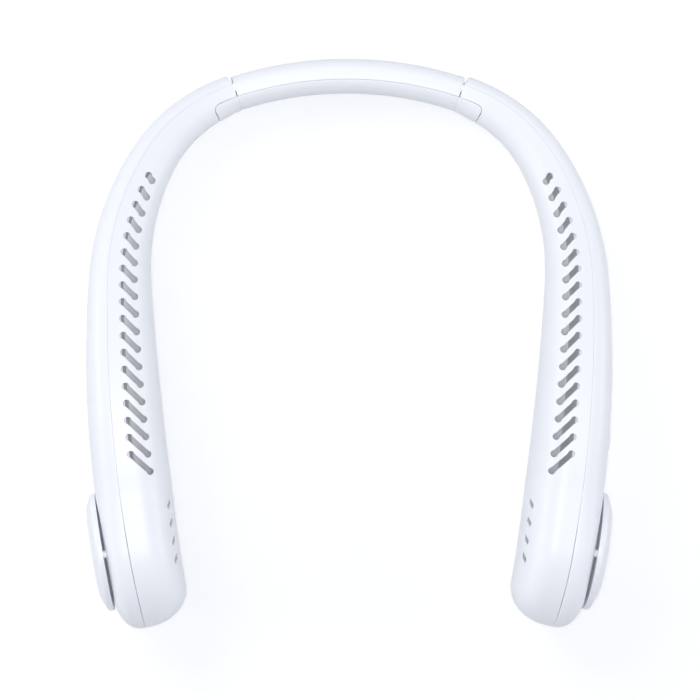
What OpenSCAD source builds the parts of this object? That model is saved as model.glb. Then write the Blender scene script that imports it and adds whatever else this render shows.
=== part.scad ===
// Electric neck fan lying flat, seen from above in the XY plane.
// A curved neck band joins two hollow arms at hinges. Each arm swells towards its tip,
// where a centrifugal fan draws air in past a raised round cover and blows it out of
// the slanted slots on the top of the arm.
// +X is the wearer's right arm, +Y the neck band, +Z up, and Z = 0 the surface it lies on.

/* [Neck band] */
// Radius of the band's middle line
band_radius = 132; // [120:1:145]
// Angle from the middle of the band to each end
band_half_angle = 18; // [15:0.5:20]
// Thickness of the band, from its neck side to its back
band_w = 12.4; // [12:0.1:13]
// Height of the band
band_h = 19.2; // [18:0.1:20]
// Wall of the band's shells
band_wall = 1.6; // [1.3:0.1:1.7]

/* [Arm path] */
// Radius of the bend next to the hinge
bend_radius = 53.4; // [50:0.2:58]
// Heading of the arm at the end of that bend, in degrees
bend_end_angle = 60.3; // [57:0.1:63]
// Radius of the long shoulder curve
shoulder_radius = 90; // [84:1:98]
// Radius of the nearly straight reach that leads to the tip
reach_radius = 570; // [540:5:620]
// Angle by which the reach turns inward
reach_angle = 11.2; // [10.6:0.1:12]

/* [Arm section] */
// Width of the arm at the hinge, seen from above
arm_root_w = 13.8; // [13.5:0.1:14.5]
// Height of the arm at the hinge
arm_root_h = 20; // [19.6:0.1:21]
// Full width of the arm, seen from above
arm_full_w = 27.4; // [26.8:0.1:30]
// Full height of the arm
arm_full_h = 50; // [46:0.5:56]
// Width of the arm where the round tip starts
arm_end_w = 26; // [24:0.1:27]
// Length over which the arm swells to its full size
swell_len = 160; // [150:1:165]
// Wall of the arm's shells
arm_wall = 1.8; // [1.5:0.1:1.9]
// Height by which the underside arches off the surface halfway along the arm
under_lift = 3; // [0:0.5:5]

/* [Air slots] */
// Number of slots on each arm
slot_count = 18; // [12:1:18]
// Distance along the arm from the hinge to the first slot
slot_first = 46.5; // [45:0.1:49]
// Distance from one slot to the next
slot_pitch = 6.15; // [5.8:0.01:6.3]
// Length of the first slot between the centres of its ends
slot_first_len = 2.3; // [1.8:0.1:3]
// Length of the last slot between the centres of its ends
slot_last_len = 9.1; // [7:0.1:9.6]
// Radius of the round ends of a slot
slot_end_r = 1.25; // [1.1:0.05:1.35]
// Half width of a slot between its round ends
slot_waist_r = 1; // [0.8:0.05:1.05]
// Number of short vents on the neck side near the tip
vent_count = 4; // [2:1:4]
// Distance along the arm from the hinge to the first vent
vent_first = 167.5; // [162:0.5:169]
// Distance from one vent to the next
vent_pitch = 6.6; // [5.5:0.1:7]
// Length of a vent between the centres of its ends
vent_len = 3; // [1.5:0.1:4]
// Half width of a vent
vent_r = 1; // [0.6:0.05:1.1]
// Height of the vents above the middle of the arm
vent_rise = 14; // [8:0.5:15]

/* [Fan] */
// Distance from the fan's axis on to where the round tip starts
fan_inset = 16.2; // [14:0.1:17]
// Distance from the cover's posts out to its rim
cover_rim = 3.4; // [2:0.1:3.6]
// Thickness of the intake cover
cover_t = 4.1; // [3:0.1:4.5]
// Thickness of the intake cover at its rim
cover_rim_t = 2; // [1.2:0.1:2.2]
// Width of the sloped edge of the intake cover
cover_slope = 4.8; // [3:0.1:6]
// Air gap between the arm and the intake cover
cover_gap = 0.8; // [0.7:0.1:2]
// Depth of the flat seat of the cover below the arm's widest point
seat_depth = 0.65; // [0.5:0.05:0.9]
// Radius of the cover's three posts
post_r = 1.4; // [1.2:0.1:1.5]
// Distance between the intake opening and the posts
post_gap = 0.4; // [0.3:0.05:0.5]
// Radius of the impeller, as a share of the arm's inside height above its middle
impeller_share = 0.625; // [0.58:0.005:0.63]
// Number of blades on the impeller
blade_count = 22; // [12:1:28]
// Thickness of a blade
blade_t = 0.7; // [0.5:0.05:0.8]
// Radius of the motor can
motor_r = 6; // [5.5:0.1:6.1]
// Length of the motor can
motor_len = 6.9; // [6.5:0.1:7]
// Radius of the motor shaft
shaft_r = 1; // [0.8:0.05:1.1]

/* [Hinges] */
// Distance from the arm's middle line out to the hinge pin
hinge_offset = 1.9; // [1.7:0.1:2]
// Radius of the hinge pin
pin_r = 1.1; // [0.9:0.05:1.2]
// Radius of the hinge knuckle and of the fork's ears
knuckle_r = 2; // [1.8:0.05:2.05]
// Height of the hinge knuckle
knuckle_h = 6.4; // [5.6:0.1:6.6]
// Angle by which each arm opens outward
arm_opening = 12; // [8:0.5:12]
// Length of the tongue that covers the neck side of each hinge
tongue_len = 10; // [8:0.5:11]
// Thickness of that tongue
tongue_t = 1.5; // [1.2:0.1:1.6]

/* [Power and controls] */
// Distance along the arm from the hinge to the middle of the battery cell
battery_place = 105; // [103:0.5:106]
// Length of the battery cell
battery_len = 40; // [34:1:42]
// Thickness of the battery cell
battery_t = 6.8; // [6:0.1:7]
// Height of the battery cell
battery_h = 27; // [24:1:28]
// Distance along the arm from the hinge to the power button
button_place = 142; // [141:0.5:143]
// Radius of the power button
button_r = 5; // [4.5:0.1:5.2]
// Height by which the power button stands out of the arm
button_proud = 0.5; // [0.4:0.1:0.8]
// Travel of the power button
button_travel = 0.4; // [0.3:0.05:0.4]
// Length of the control board along the arm
board_len = 26; // [25:0.5:27]
// Thickness of the control board
board_t = 1; // [0.8:0.1:1.2]
// Width of the charge socket's mouth
socket_w = 8.9; // [8.9:0.1:9]
// Height of the charge socket's mouth
socket_h = 3.2; // [3.2:0.1:3.3]
// Depth of the charge socket
socket_depth = 7.3; // [6.5:0.1:7.5]
// Number of charge lights
light_count = 3; // [2:1:3]
// Radius of a charge light
light_r = 0.8; // [0.6:0.05:0.9]
// Radius of the wires
wire_r = 0.8; // [0.6:0.05:0.9]

/* [Hidden] */

// Clearances and the overrun of cuts
seam_gap = 0.3;   // between band and arm, and round the tongue
fit_gap = 0.3;    // between pieces that only seat on each other
run_gap = 0.05;   // radial running clearance of pins and shafts
thin_gap = 0.2;   // side clearance of the hinge parts
over = 2;         // overrun of every cut

// Shape of the arm's section: shares of its half width, and the power of its round sides
side_power_share = 0.8;   // below 1 gives a fuller side than an ellipse
crown_share = 0.1;        // where the flat top ends on the neck side
seam_root_share = 0.4;    // where the shells meet, at the hinge
seam_full_share = 0.31;   // where the shells meet, at full width
pad_share = 0.3;          // where the neck pad starts, on the neck side
slot_share = 0.32;        // middle of the slots, on the neck side
swell_power = 1.57;       // how fast the arm swells
taper_len = 40;           // length over which the arm narrows before its tip
tip_power_share = 0.85;   // below 1 gives a blunter tip than a half circle
fan_power_share = 0.5;    // power of the outer side at the fan, where it is flatter
fan_power_len = 30;       // length over which the outer side gets flatter
slot_angle = 42;          // slant of the last slot to the arm
slot_extra_angle = 17;    // how much steeper the first slot is
slot_turn_power = 2.5;    // how fast that extra angle fades
slot_grow_power = 0.65;   // how fast the slots lengthen
tongue_corner_r = 2.5;    // round corner of the tongue's end

// Fan parts. Shares along the axis are of the room between the arm's middle and its wall
guard_share = 0.742;      // inner face of the guard's flange
guard_t = 0.9;            // thickness of the guard's flange and spokes
guard_lip = 1.2;          // how far the flange reaches past the opening
guard_wall = 1.3;         // wall of the guard's collar
guard_hub_share = 0.2;    // radius of the guard's hub, as a share of the opening's
guard_mid_share = 0.56;   // radius of the guard's middle ring, likewise
spoke_count = 8;
spoke_w = 1.1;
opening_lip = 1.5;        // how far the intake opening reaches past the impeller
scroll_share = 0.706;     // underside of the scroll housing, on the neck side
scroll_plate_t = 1;
scroll_wall = 0.9;
scroll_gap = 0.8;         // between the impeller and the narrow end of the scroll
scroll_grow_share = 0.13; // how much the scroll grows, as a share of the inside height
scroll_half_angle = 150;  // half of the angle that the scroll goes round
scroll_steps = 40;
spin_gap = 0.4;           // between the impeller and what stands still
impeller_plate_t = 1;
impeller_ring_t = 0.8;
impeller_ring_w = 2;
blade_in_share = 0.71;    // where a blade starts, as a share of the impeller's radius
blade_sweep = 26;         // angle that a blade curves through
blade_steps = 5;
hub_wall = 1;
hub_roof_t = 1.4;
motor_seat = 0.43;        // between the motor and the wall on the neck side
motor_boss_r = 2.2;
motor_boss_t = 0.4;
shaft_tail = 6;           // length of the shaft inside the motor

// Hinge parts, along the arm from the hinge pin
ear_h = 3.2;
fork_start = 3;
fork_len = 6;
fork_in = 3.9;            // reach of the fork towards the neck side
fork_out = 3.8;           // reach of the fork towards the outer side
tang_start = 2.6;
tang_len = 11;
tang_anchor = 6;
tang_w = 6.6;

// Control parts, set out from the right arm's outer side
board_sink = 8.83;        // how far the board's inner face lies below that side
board_rise = 8;           // how far the board reaches above the middle
socket_reach = 3.5;       // how far the socket's mouth stands past the board's lower edge
boss_r = 1.6;
boss_inset = 2.5;
boss_fall = 1.5;          // the arm's wall lies this much further in at the lower bosses
switch_w = 6;
switch_t = 3;
plunger_r = 1.7;
plunger_t = 0.6;
flange_w = 1;
flange_t = 0.8;
stem_r = 1.6;
button_gap = button_travel + 0.1;   // between the button's stem and the switch
flange_gap = 0.5;         // between the button's flange and the wall
light_pitch = 2.5;
socket_wall = 0.4;
battery_base = 0.35;
divider_t = 0.8;
divider_start = 16;
divider_inset = 24;       // from the divider's end to the fan's axis
wire_start = 14;
wire_inset = 23;          // from the wires' end to the fan's axis
wire_gap = 0.5;           // between the wires and the divider
wire_out = battery_base + wire_r + wire_gap;
band_wire_pitch = 2.2;
band_wire_count = 3;

// Fineness of the curved forms
stations = 24;
outer_steps = 8;
inner_steps = 10;
cap_angles = [18, 36, 52, 66, 78, 86];
fine = 96;
mid = 48;
coarse = 12;

// The arm's middle line: three arcs that follow each other
deg = 180 / PI;
function turn(angle) = [sin(angle), cos(angle)];
end_angle = 90 + reach_angle;
bend_len = bend_radius * (bend_end_angle - band_half_angle) / deg;
shoulder_len = shoulder_radius * (90 - bend_end_angle) / deg;
reach_len = reach_radius * reach_angle / deg;
arm_len = bend_len + shoulder_len + reach_len;
fan_place = arm_len - fan_inset;
bend_step = bend_radius * (turn(bend_end_angle) - turn(band_half_angle));
shoulder_step = shoulder_radius * (turn(90) - turn(bend_end_angle));
reach_step = reach_radius * (turn(end_angle) - turn(90));
raw_root = band_radius * turn(band_half_angle);
raw_end = raw_root + bend_step + shoulder_step + reach_step;
back_y = -(band_radius + band_w / 2 + raw_end.y - arm_end_w / 2) / 2;
root = raw_root + [0, back_y];
bend_end = root + bend_step;
shoulder_end = bend_end + shoulder_step;

function heading(s) =
    s < 0 ? band_half_angle
    : s < bend_len ? band_half_angle + s / bend_radius * deg
    : s < bend_len + shoulder_len ? bend_end_angle + (s - bend_len) / shoulder_radius * deg
    : min(90 + (s - bend_len - shoulder_len) / reach_radius * deg, end_angle);
function along(angle) = [cos(angle), -sin(angle)];
function spot(s) =
    s < 0 ? root + s * along(band_half_angle)
    : s < bend_len ? root + bend_radius * (turn(heading(s)) - turn(band_half_angle))
    : s < bend_len + shoulder_len
        ? bend_end + shoulder_radius * (turn(heading(s)) - turn(bend_end_angle))
    : shoulder_end + reach_radius * (turn(heading(s)) - turn(90))
        + max(s - arm_len, 0) * along(end_angle);

// Size of the arm's section at a distance s from the hinge
function clamp(x) = min(max(x, 0), 1);
function ease(x) = clamp(x) * clamp(x) * (3 - 2 * clamp(x));
function swell(s) = pow(sin(90 * clamp(s / swell_len)), swell_power);
function half_w(s) =
    (arm_root_w + (arm_full_w - arm_root_w) * swell(s)
     - (arm_full_w - arm_end_w) * ease((s - arm_len + taper_len) / taper_len)) / 2;
function half_h(s) = (arm_root_h + (arm_full_h - arm_root_h) * swell(s)) / 2;

// Seen from the side, the tip is rounded about the fan's axis
tip_reach = fan_inset + arm_end_w / 2;
function tip_share(s, inset) = max(s - fan_place, 0) / (tip_reach - inset);
function tip_h(s, inset) = (half_h(s) - inset) * sqrt(max(1 - pow(tip_share(s, inset), 2), 0));
function mid_z(s) = half_h(s) + under_lift * sin(180 * clamp(s / swell_len));
function seam_n(s) =
    half_w(s) * (seam_root_share + (seam_full_share - seam_root_share) * swell(s));
function crown_n(s) = half_w(s) * crown_share;

// Power of the section's outer side
function outer_power(s) =
    side_power_share + (fan_power_share - side_power_share)
        * ease((s - fan_place + fan_power_len) / fan_power_len);

// One side of a section, from its flat top or underside round to its widest point
function rounded(reach, flat, h, t, power) =
    [flat + (reach - flat) * pow(cos(t), power), h * sign(t) * pow(abs(sin(t)), power)];
function outer_side(a, b, f, power) =
    [for (i = [0 : outer_steps]) rounded(a, f, b, -90 + 180 * i / outer_steps, power)];
function inner_side(a, b, c) =
    [for (i = [0 : inner_steps])
        let (p = rounded(a, c, b, 90 - 180 * i / inner_steps, side_power_share)) [-p.x, p.y]];
function section(kind, a, b, f, c, power) =
    kind == "outer" ? outer_side(a, b, f, power)
    : kind == "inner" ? concat([[f, -b], [f, b]], inner_side(a, b, c))
    : concat(outer_side(a, b, f, power), inner_side(a, b, c));

// Puts the points of a section into space at a distance s
function placed(points, s) =
    let (angle = heading(s), p = spot(s))
    [for (q = points) [p.x + q.x * sin(angle), p.y + q.x * cos(angle), mid_z(s) + q.y]];

// One ring of the arm's surface; past its end, a cap angle rounds the tip towards the seam
function arm_ring(kind, inset, s, cap) =
    let (reach = half_w(s) - inset, end = s + reach * sin(cap), f = seam_n(s),
         k = pow(cos(cap), tip_power_share),
         points = section(kind, reach, tip_h(end, inset), f, crown_n(s), outer_power(s)))
    placed([for (q = points) [f + (q.x - f) * k, q.y]], end);

// Joins rings of equal point counts into one closed solid
module loft(rings) {
    k = len(rings[0]);
    m = len(rings);
    polyhedron(
        points = [for (ring = rings) each ring],
        faces = concat(
            [[for (i = [0 : k - 1]) i]],
            [[for (i = [k - 1 : -1 : 0]) (m - 1) * k + i]],
            [for (j = [0 : m - 2], i = [0 : k - 1])
                [j * k + i, (j + 1) * k + i, (j + 1) * k + (i + 1) % k]],
            [for (j = [0 : m - 2], i = [0 : k - 1])
                [j * k + i, (j + 1) * k + (i + 1) % k, j * k + (i + 1) % k]]),
        convexity = 8);
}

module arm_body(kind, inset, start) {
    loft(concat(
        start < 0 ? [arm_ring(kind, inset, start, 0)] : [],
        [for (i = [0 : stations]) arm_ring(kind, inset, arm_len * i / stations, 0)],
        [for (cap = cap_angles) arm_ring(kind, inset, arm_len, cap)]));
}

module at(s) {
    p = spot(s);
    translate([p.x, p.y, mid_z(s)])
        rotate([0, 0, -heading(s)])
            children();
}

// Places a piece of the arm on the right, or mirrored on the left
module on(side) {
    if (side < 0) mirror([1, 0, 0]) children();
    else children();
}

// Frame of a piece on an axis that points outward: its Z runs out of the arm
module outward(s) {
    at(s) rotate([-90, 0, 0]) children();
}
module fan_frame() {
    outward(fan_place) children();
}
module slab(x0, x1, y0, y1, z0, z1) {
    translate([x0, y0, z0]) cube([x1 - x0, y1 - y0, z1 - z0]);
}
module ring(r_out, r_in, z0, z1) {
    translate([0, 0, z0])
        difference() {
            cylinder(r = r_out, h = z1 - z0, $fn = fine);
            translate([0, 0, -over]) cylinder(r = r_in, h = z1 - z0 + 2 * over, $fn = fine);
        }
}

// Edge of the tongue: how far it draws in towards the neck side near its round end
function corner(s, length, r) =
    s < length - r ? 0 : r - sqrt(max(r * r - pow(s - length + r, 2), 0));
function tongue_places(start, length, r) =
    concat([start, 0, (length - r) / 2],
           [for (t = [0, 30, 60, 84]) length - r + r * sin(t)]);

// Strip of the arm's wall on the neck side, between two offsets from its surface
function strip(s, out, inset, edge) =
    let (a = half_w(s) - out, b = half_h(s) - out, c = crown_n(s),
         reach = acos(pow((edge - c) / (a - c), 1 / side_power_share)),
         under = acos(pow((edge - c) / (a - inset - c), 1 / side_power_share)))
    let (p = [for (i = [0 : inner_steps])
        rounded(a, c, b, reach * (1 - 2 * i / inner_steps), side_power_share)])
    let (q = [for (i = [0 : inner_steps])
        rounded(a - inset, c, b - inset, under * (1 - 2 * i / inner_steps), side_power_share)])
    concat([for (v = p) [-v.x, v.y]], [for (i = [inner_steps : -1 : 0]) [-q[i].x, q[i].y]]);
module hinge_tongue(side) {
    on(side) color("white")
        loft([for (s = tongue_places(-seam_gap / 2, tongue_len, tongue_corner_r))
            placed(strip(s, 0, tongue_t,
                         half_w(s) * pad_share + corner(s, tongue_len, tongue_corner_r)),
                   s)]);
}
module tongue_window() {
    long = tongue_len + seam_gap;
    r = tongue_corner_r + seam_gap;
    loft([for (s = tongue_places(-over, long, r))
        let (a = half_w(s) + over, b = half_h(s) + over,
             edge = half_w(s) * pad_share - seam_gap + corner(s, long, r))
        placed([[-edge, -b], [-edge, b], [-a, b], [-a, -b]], s)]);
}

// What is cut off the end of an arm so that it can open: straight on the neck side of
// the pin, and bevelled on its outer side
module hinge_relief() {
    gap = seam_gap / 2;
    reach = arm_root_w;
    at(0) translate([0, 0, -arm_root_h])
        linear_extrude(height = 2 * arm_root_h)
            polygon([[-reach, -reach], [gap, -reach], [gap, hinge_offset],
                     [gap + (reach - hinge_offset) * tan(arm_opening + 1), reach],
                     [-reach, reach]]);
}

// One bone-shaped air slot, cut down through the top of the arm
module air_slot(i) {
    share = i / max(slot_count - 1, 1);
    s = slot_first + slot_pitch * i;
    half = (slot_first_len + (slot_last_len - slot_first_len) * pow(share, slot_grow_power)) / 2;
    slant = slot_angle + slot_extra_angle * pow(1 - share, slot_turn_power);
    at(s)
        translate([0, -slot_share * half_w(s), half_h(s) / 2])
            rotate([0, 0, -slant]) {
                hull()
                    for (x = [-half, half])
                        translate([x, 0, 0])
                            cylinder(r = slot_waist_r, h = half_h(s), $fn = coarse);
                for (x = [-half, half])
                    translate([x, 0, 0])
                        cylinder(r = slot_end_r, h = half_h(s), $fn = coarse);
            }
}

// One short vent, cut in through the neck side near the tip
module neck_vent(i) {
    s = vent_first + vent_pitch * i;
    at(s)
        translate([0, -half_w(s) / 2, vent_rise])
            rotate([90, 0, 0])
                hull()
                    for (k = [-1, 1])
                        translate([k * vent_len / 4, k * vent_len / 2, 0])
                            cylinder(r = vent_r, h = half_w(s), $fn = coarse);
}

module inner_shell(side) {
    on(side) color("white")
        difference() {
            arm_body("inner", 0, 0);
            arm_body("full", arm_wall, -over);
            tongue_window();
            hinge_relief();
            for (i = [0 : slot_count - 1]) air_slot(i);
            for (i = [0 : vent_count - 1]) neck_vent(i);
        }
}

// Places of the intake cover's posts round the fan's axis; the first one is on top
post_angles = [270, 30, 150];
seat = half_w(fan_place) - seat_depth;
cover_base = seat + cover_gap;
post_foot = half_w(fan_place) - arm_wall - 2 * cover_gap;

// Room for the fan inside the arm: outward of its middle, and above it
fan_room = half_w(fan_place) - arm_wall;
fan_height = half_h(fan_place) - arm_wall;
impeller_r = impeller_share * fan_height;
opening_r = impeller_r + opening_lip;
post_ring_r = opening_r + post_gap + post_r;
cover_r = post_ring_r + cover_rim;
guard_base = guard_share * fan_room;
scroll_base = -scroll_share * fan_room;
scroll_in_r = impeller_r + scroll_gap;
scroll_grow = scroll_grow_share * fan_height;
impeller_base = scroll_base + scroll_plate_t + spin_gap;
impeller_top = guard_base - spin_gap;
motor_base = motor_seat - fan_room;
motor_top = motor_base + motor_len;
shaft_base = motor_top - shaft_tail;
hub_roof = motor_top + motor_boss_t + thin_gap;
hub_top = hub_roof + hub_roof_t;

module outer_shell(side) {
    on(side) color("white")
        difference() {
            union() {
                difference() {
                    arm_body("outer", 0, 0);
                    arm_body("full", arm_wall, -over);
                    hinge_relief();
                }
                if (side > 0) board_bosses();
            }
            fan_frame() {
                translate([0, 0, seat]) cylinder(r = cover_r + seam_gap, h = arm_full_w, $fn = fine);
                cylinder(r = opening_r, h = arm_full_w, $fn = fine);
                for (angle = post_angles)
                    rotate([0, 0, angle]) translate([post_ring_r, 0, 0])
                        cylinder(r = post_r + run_gap, h = arm_full_w, $fn = mid);
            }
            if (side > 0) {
                outward(button_place)
                    cylinder(r = button_r + fit_gap, h = arm_full_w, $fn = mid);
                for (i = [0 : light_count - 1])
                    outward(button_place) translate([-light_start - light_pitch * i, 0, 0])
                        cylinder(r = light_r + run_gap, h = arm_full_w, $fn = mid);
                socket_hole();
            }
        }
}

module intake_cover(side) {
    on(side) color("white") fan_frame() {
        translate([0, 0, cover_base])
            rotate_extrude($fn = fine)
                polygon([[0, 0], [cover_r, 0], [cover_r, cover_rim_t],
                         [cover_r - cover_slope, cover_t], [0, cover_t]]);
        for (angle = post_angles)
            rotate([0, 0, angle]) translate([post_ring_r, 0, post_foot])
                cylinder(r = post_r, h = cover_base + cover_rim_t / 2 - post_foot, $fn = mid);
    }
}

module intake_guard(side) {
    collar_r = opening_r - run_gap;
    mid_r = guard_mid_share * opening_r;
    hub_r = guard_hub_share * opening_r;
    on(side) color("gainsboro") fan_frame() {
        ring(opening_r + guard_lip, collar_r - guard_wall, guard_base, guard_base + guard_t);
        ring(collar_r, collar_r - guard_wall, guard_base, seat);
        ring(mid_r + spoke_w / 2, mid_r - spoke_w / 2, guard_base, guard_base + guard_t);
        translate([0, 0, guard_base]) cylinder(r = hub_r, h = guard_t, $fn = mid);
        for (i = [0 : spoke_count - 1])
            rotate([0, 0, 360 * i / spoke_count])
                slab(hub_r / 2, collar_r - guard_wall / 2, -spoke_w / 2, spoke_w / 2,
                     guard_base, guard_base + guard_t);
    }
}

// Scroll housing: a plate behind the impeller and a spiral wall that opens up the arm
function scroll_r(angle) =
    scroll_in_r + scroll_grow * (angle + scroll_half_angle) / (2 * scroll_half_angle);
function polar(r, angle) = [r * cos(angle), r * sin(angle)];
module volute(side) {
    turns = [for (i = [0 : scroll_steps])
        -scroll_half_angle + 2 * scroll_half_angle * i / scroll_steps];
    on(side) color("whitesmoke") fan_frame() {
        difference() {
            translate([0, 0, scroll_base])
                cylinder(r = scroll_r(scroll_half_angle) + scroll_wall - thin_gap,
                         h = scroll_plate_t, $fn = fine);
            translate([0, 0, scroll_base - over])
                cylinder(r = motor_r + run_gap, h = scroll_plate_t + 2 * over, $fn = mid);
        }
        translate([0, 0, scroll_base])
            linear_extrude(height = guard_base - scroll_base)
                polygon(concat(
                    [for (angle = turns) polar(scroll_r(angle), angle)],
                    [for (i = [scroll_steps : -1 : 0])
                        polar(scroll_r(turns[i]) + scroll_wall, turns[i])]));
    }
}

module motor(side) {
    on(side) color("silver") fan_frame()
        difference() {
            union() {
                translate([0, 0, motor_base]) cylinder(r = motor_r, h = motor_len, $fn = mid);
                translate([0, 0, motor_base])
                    cylinder(r = motor_boss_r, h = motor_len + motor_boss_t, $fn = mid);
            }
            translate([0, 0, shaft_base - run_gap])
                cylinder(r = shaft_r + run_gap, h = shaft_tail + motor_boss_t + over, $fn = mid);
        }
}

module motor_shaft(side) {
    on(side) color("silver") fan_frame()
        translate([0, 0, shaft_base]) cylinder(r = shaft_r, h = hub_top - shaft_base, $fn = mid);
}

// Centrifugal impeller: curved blades between a back plate and a front ring
module impeller(side) {
    hub_in_r = motor_r + spin_gap;
    blade_base = impeller_base + impeller_plate_t / 2;
    on(side) color("lightgray") fan_frame() {
        difference() {
            union() {
                translate([0, 0, impeller_base])
                    cylinder(r = impeller_r, h = impeller_plate_t, $fn = fine);
                translate([0, 0, impeller_base])
                    cylinder(r = hub_in_r + hub_wall, h = hub_top - impeller_base, $fn = fine);
            }
            translate([0, 0, impeller_base - over])
                cylinder(r = hub_in_r, h = hub_roof - impeller_base + over, $fn = fine);
            translate([0, 0, impeller_base])
                cylinder(r = shaft_r, h = hub_top - impeller_base + over, $fn = mid);
        }
        ring(impeller_r, impeller_r - impeller_ring_w,
             impeller_top - impeller_ring_t, impeller_top);
        translate([0, 0, blade_base])
            linear_extrude(height = impeller_top - impeller_ring_t / 2 - blade_base)
                for (i = [0 : blade_count - 1]) rotate(360 * i / blade_count) blade();
    }
}
module blade() {
    out_r = impeller_r - blade_t / 2;
    polygon(concat(
        [for (j = [0 : blade_steps]) blade_point(j / blade_steps, out_r, -1)],
        [for (j = [blade_steps : -1 : 0]) blade_point(j / blade_steps, out_r, 1)]));
}
function blade_point(share, out_r, face) =
    let (in_r = blade_in_share * impeller_r, r = in_r + (out_r - in_r) * share)
    polar(r, blade_sweep * share * share + face * blade_t / 2 / r * deg);

// Hinge: a knuckle in the band, a fork in the arm and the pin between them
pin_half = knuckle_h / 2 + thin_gap + ear_h;
module hinge_knuckle(side) {
    on(side) color("lightgray") at(0)
        difference() {
            union() {
                translate([0, hinge_offset, -knuckle_h / 2])
                    cylinder(r = knuckle_r, h = knuckle_h, $fn = mid);
                slab(-tang_start - thin_gap, 0, hinge_offset - knuckle_r,
                     hinge_offset + knuckle_r, -knuckle_h / 2, knuckle_h / 2);
                slab(-tang_start - tang_len, -tang_start, -tang_w / 2, tang_w / 2,
                     -knuckle_h / 2, knuckle_h / 2);
                intersection() {
                    slab(-tang_start - tang_len, -tang_anchor, -band_w / 2, band_w / 2,
                         -band_h / 2, band_h / 2);
                    translate([0, 0, -mid_z(0)])
                        rotate([0, 0, heading(0)]) translate([-root.x, -root.y, 0])
                            band_turn(0) polygon(band_section(band_wall + thin_gap));
                }
            }
            translate([0, hinge_offset, -knuckle_h])
                cylinder(r = pin_r + run_gap, h = 2 * knuckle_h, $fn = mid);
        }
}
module hinge_fork(side) {
    on(side) color("lightgray") at(0)
        difference() {
            union() {
                slab(fork_start, fork_start + fork_len, -fork_in, fork_out,
                     -pin_half, pin_half);
                for (z = [-pin_half, pin_half - ear_h]) {
                    translate([0, hinge_offset, z])
                        cylinder(r = knuckle_r, h = ear_h, $fn = mid);
                    slab(0, fork_start + thin_gap, hinge_offset - knuckle_r, fork_out,
                         z, z + ear_h);
                }
            }
            translate([0, hinge_offset, -arm_root_h])
                cylinder(r = pin_r, h = 2 * arm_root_h, $fn = mid);
        }
}
module hinge_pin(side) {
    on(side) color("silver") at(0)
        translate([0, hinge_offset, -pin_half]) cylinder(r = pin_r, h = 2 * pin_half, $fn = mid);
}

module battery(side) {
    on(side) color("lightsteelblue") at(battery_place)
        slab(-battery_len / 2, battery_len / 2, battery_base, battery_base + battery_t,
             -battery_h / 2, battery_h / 2);
}

// Wall between the air duct on the neck side and the cell and wires on the outer side
module air_divider(side) {
    on(side) color("whitesmoke")
        loft([for (i = [0 : stations])
            let (s = divider_start + (fan_place - divider_inset - divider_start) * i / stations,
                 b = half_h(s) - arm_wall - fit_gap)
            placed([[0, -b], [0, b], [-divider_t, b], [-divider_t, -b]], s)]);
}

module arm_wires(side) {
    on(side) color("firebrick")
        loft([for (i = [0 : stations])
            let (s = wire_start + (fan_place - wire_inset - wire_start) * i / stations,
                 low = half_h(s) - arm_wall - wire_r - thin_gap)
            placed([for (k = [0 : 5])
                [wire_out + wire_r * cos(60 * k), -low + wire_r * sin(60 * k)]],
                s)]);
}

// Band: both shells have one section turned about the band's centre
function band_section(inset) =
    section("full", band_w / 2 - inset, band_h / 2 - inset,
            band_w / 2 * seam_root_share, band_w / 2 * crown_share, side_power_share);
module band_turn(gap) {
    sweep = band_half_angle - gap / band_radius * deg;
    translate([0, back_y, arm_root_h / 2])
        rotate([0, 0, 90 - sweep])
            rotate_extrude(angle = 2 * sweep, $fn = 4 * fine)
                translate([band_radius, 0]) children();
}
module band_profile(from_n, to_n) {
    intersection() {
        difference() {
            polygon(band_section(0));
            polygon(band_section(band_wall));
        }
        translate([from_n, -band_h]) square([to_n - from_n, 2 * band_h]);
    }
}
module band_rear_shell() {
    color("white") band_turn(seam_gap / 2)
        band_profile(-band_w / 2 * pad_share, band_w);
}
module band_neck_pad() {
    color("white") band_turn(seam_gap / 2)
        band_profile(-band_w, -band_w / 2 * pad_share);
}
module band_wires() {
    inward = band_w / 2 - band_wall - wire_r - thin_gap;
    past = (tang_start + tang_len + seam_gap) * band_radius / (band_radius - inward - wire_r);
    color("firebrick") band_turn(past)
        for (i = [0 : band_wire_count - 1])
            translate([-inward, band_wire_pitch * (i - (band_wire_count - 1) / 2)])
                circle(r = wire_r, $fn = mid);
}

// Controls of the right arm
socket_mouth = half_h(button_place) - arm_wall - fit_gap;
board_drop = socket_mouth - socket_reach;
light_start = board_len / 2 - light_pitch * (light_count - 1);
board_base = half_w(button_place) - board_sink;
board_top = board_base + board_t;
switch_top = board_top + switch_t + plunger_t;
button_wall = half_w(button_place) - arm_wall;
button_top = half_w(button_place) + button_proud;
module board_bosses() {
    for (x = [-1, 1], y = [-board_rise + boss_inset, board_drop - boss_inset])
        outward(button_place)
            translate([x * (board_len / 2 - boss_inset), y, board_top])
                cylinder(r = boss_r, h = button_wall - board_top + fit_gap
                         - (y > 0 ? boss_fall : 0), $fn = mid);
}
module control_board() {
    color("seagreen") outward(button_place)
        slab(-board_len / 2, board_len / 2, -board_rise, board_drop, board_base, board_top);
}
module tact_switch() {
    color("dimgray") outward(button_place) {
        slab(-switch_w / 2, switch_w / 2, -switch_w / 2, switch_w / 2,
             board_top, board_top + switch_t);
        translate([0, 0, board_top]) cylinder(r = plunger_r, h = switch_top - board_top, $fn = mid);
    }
}
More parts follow.
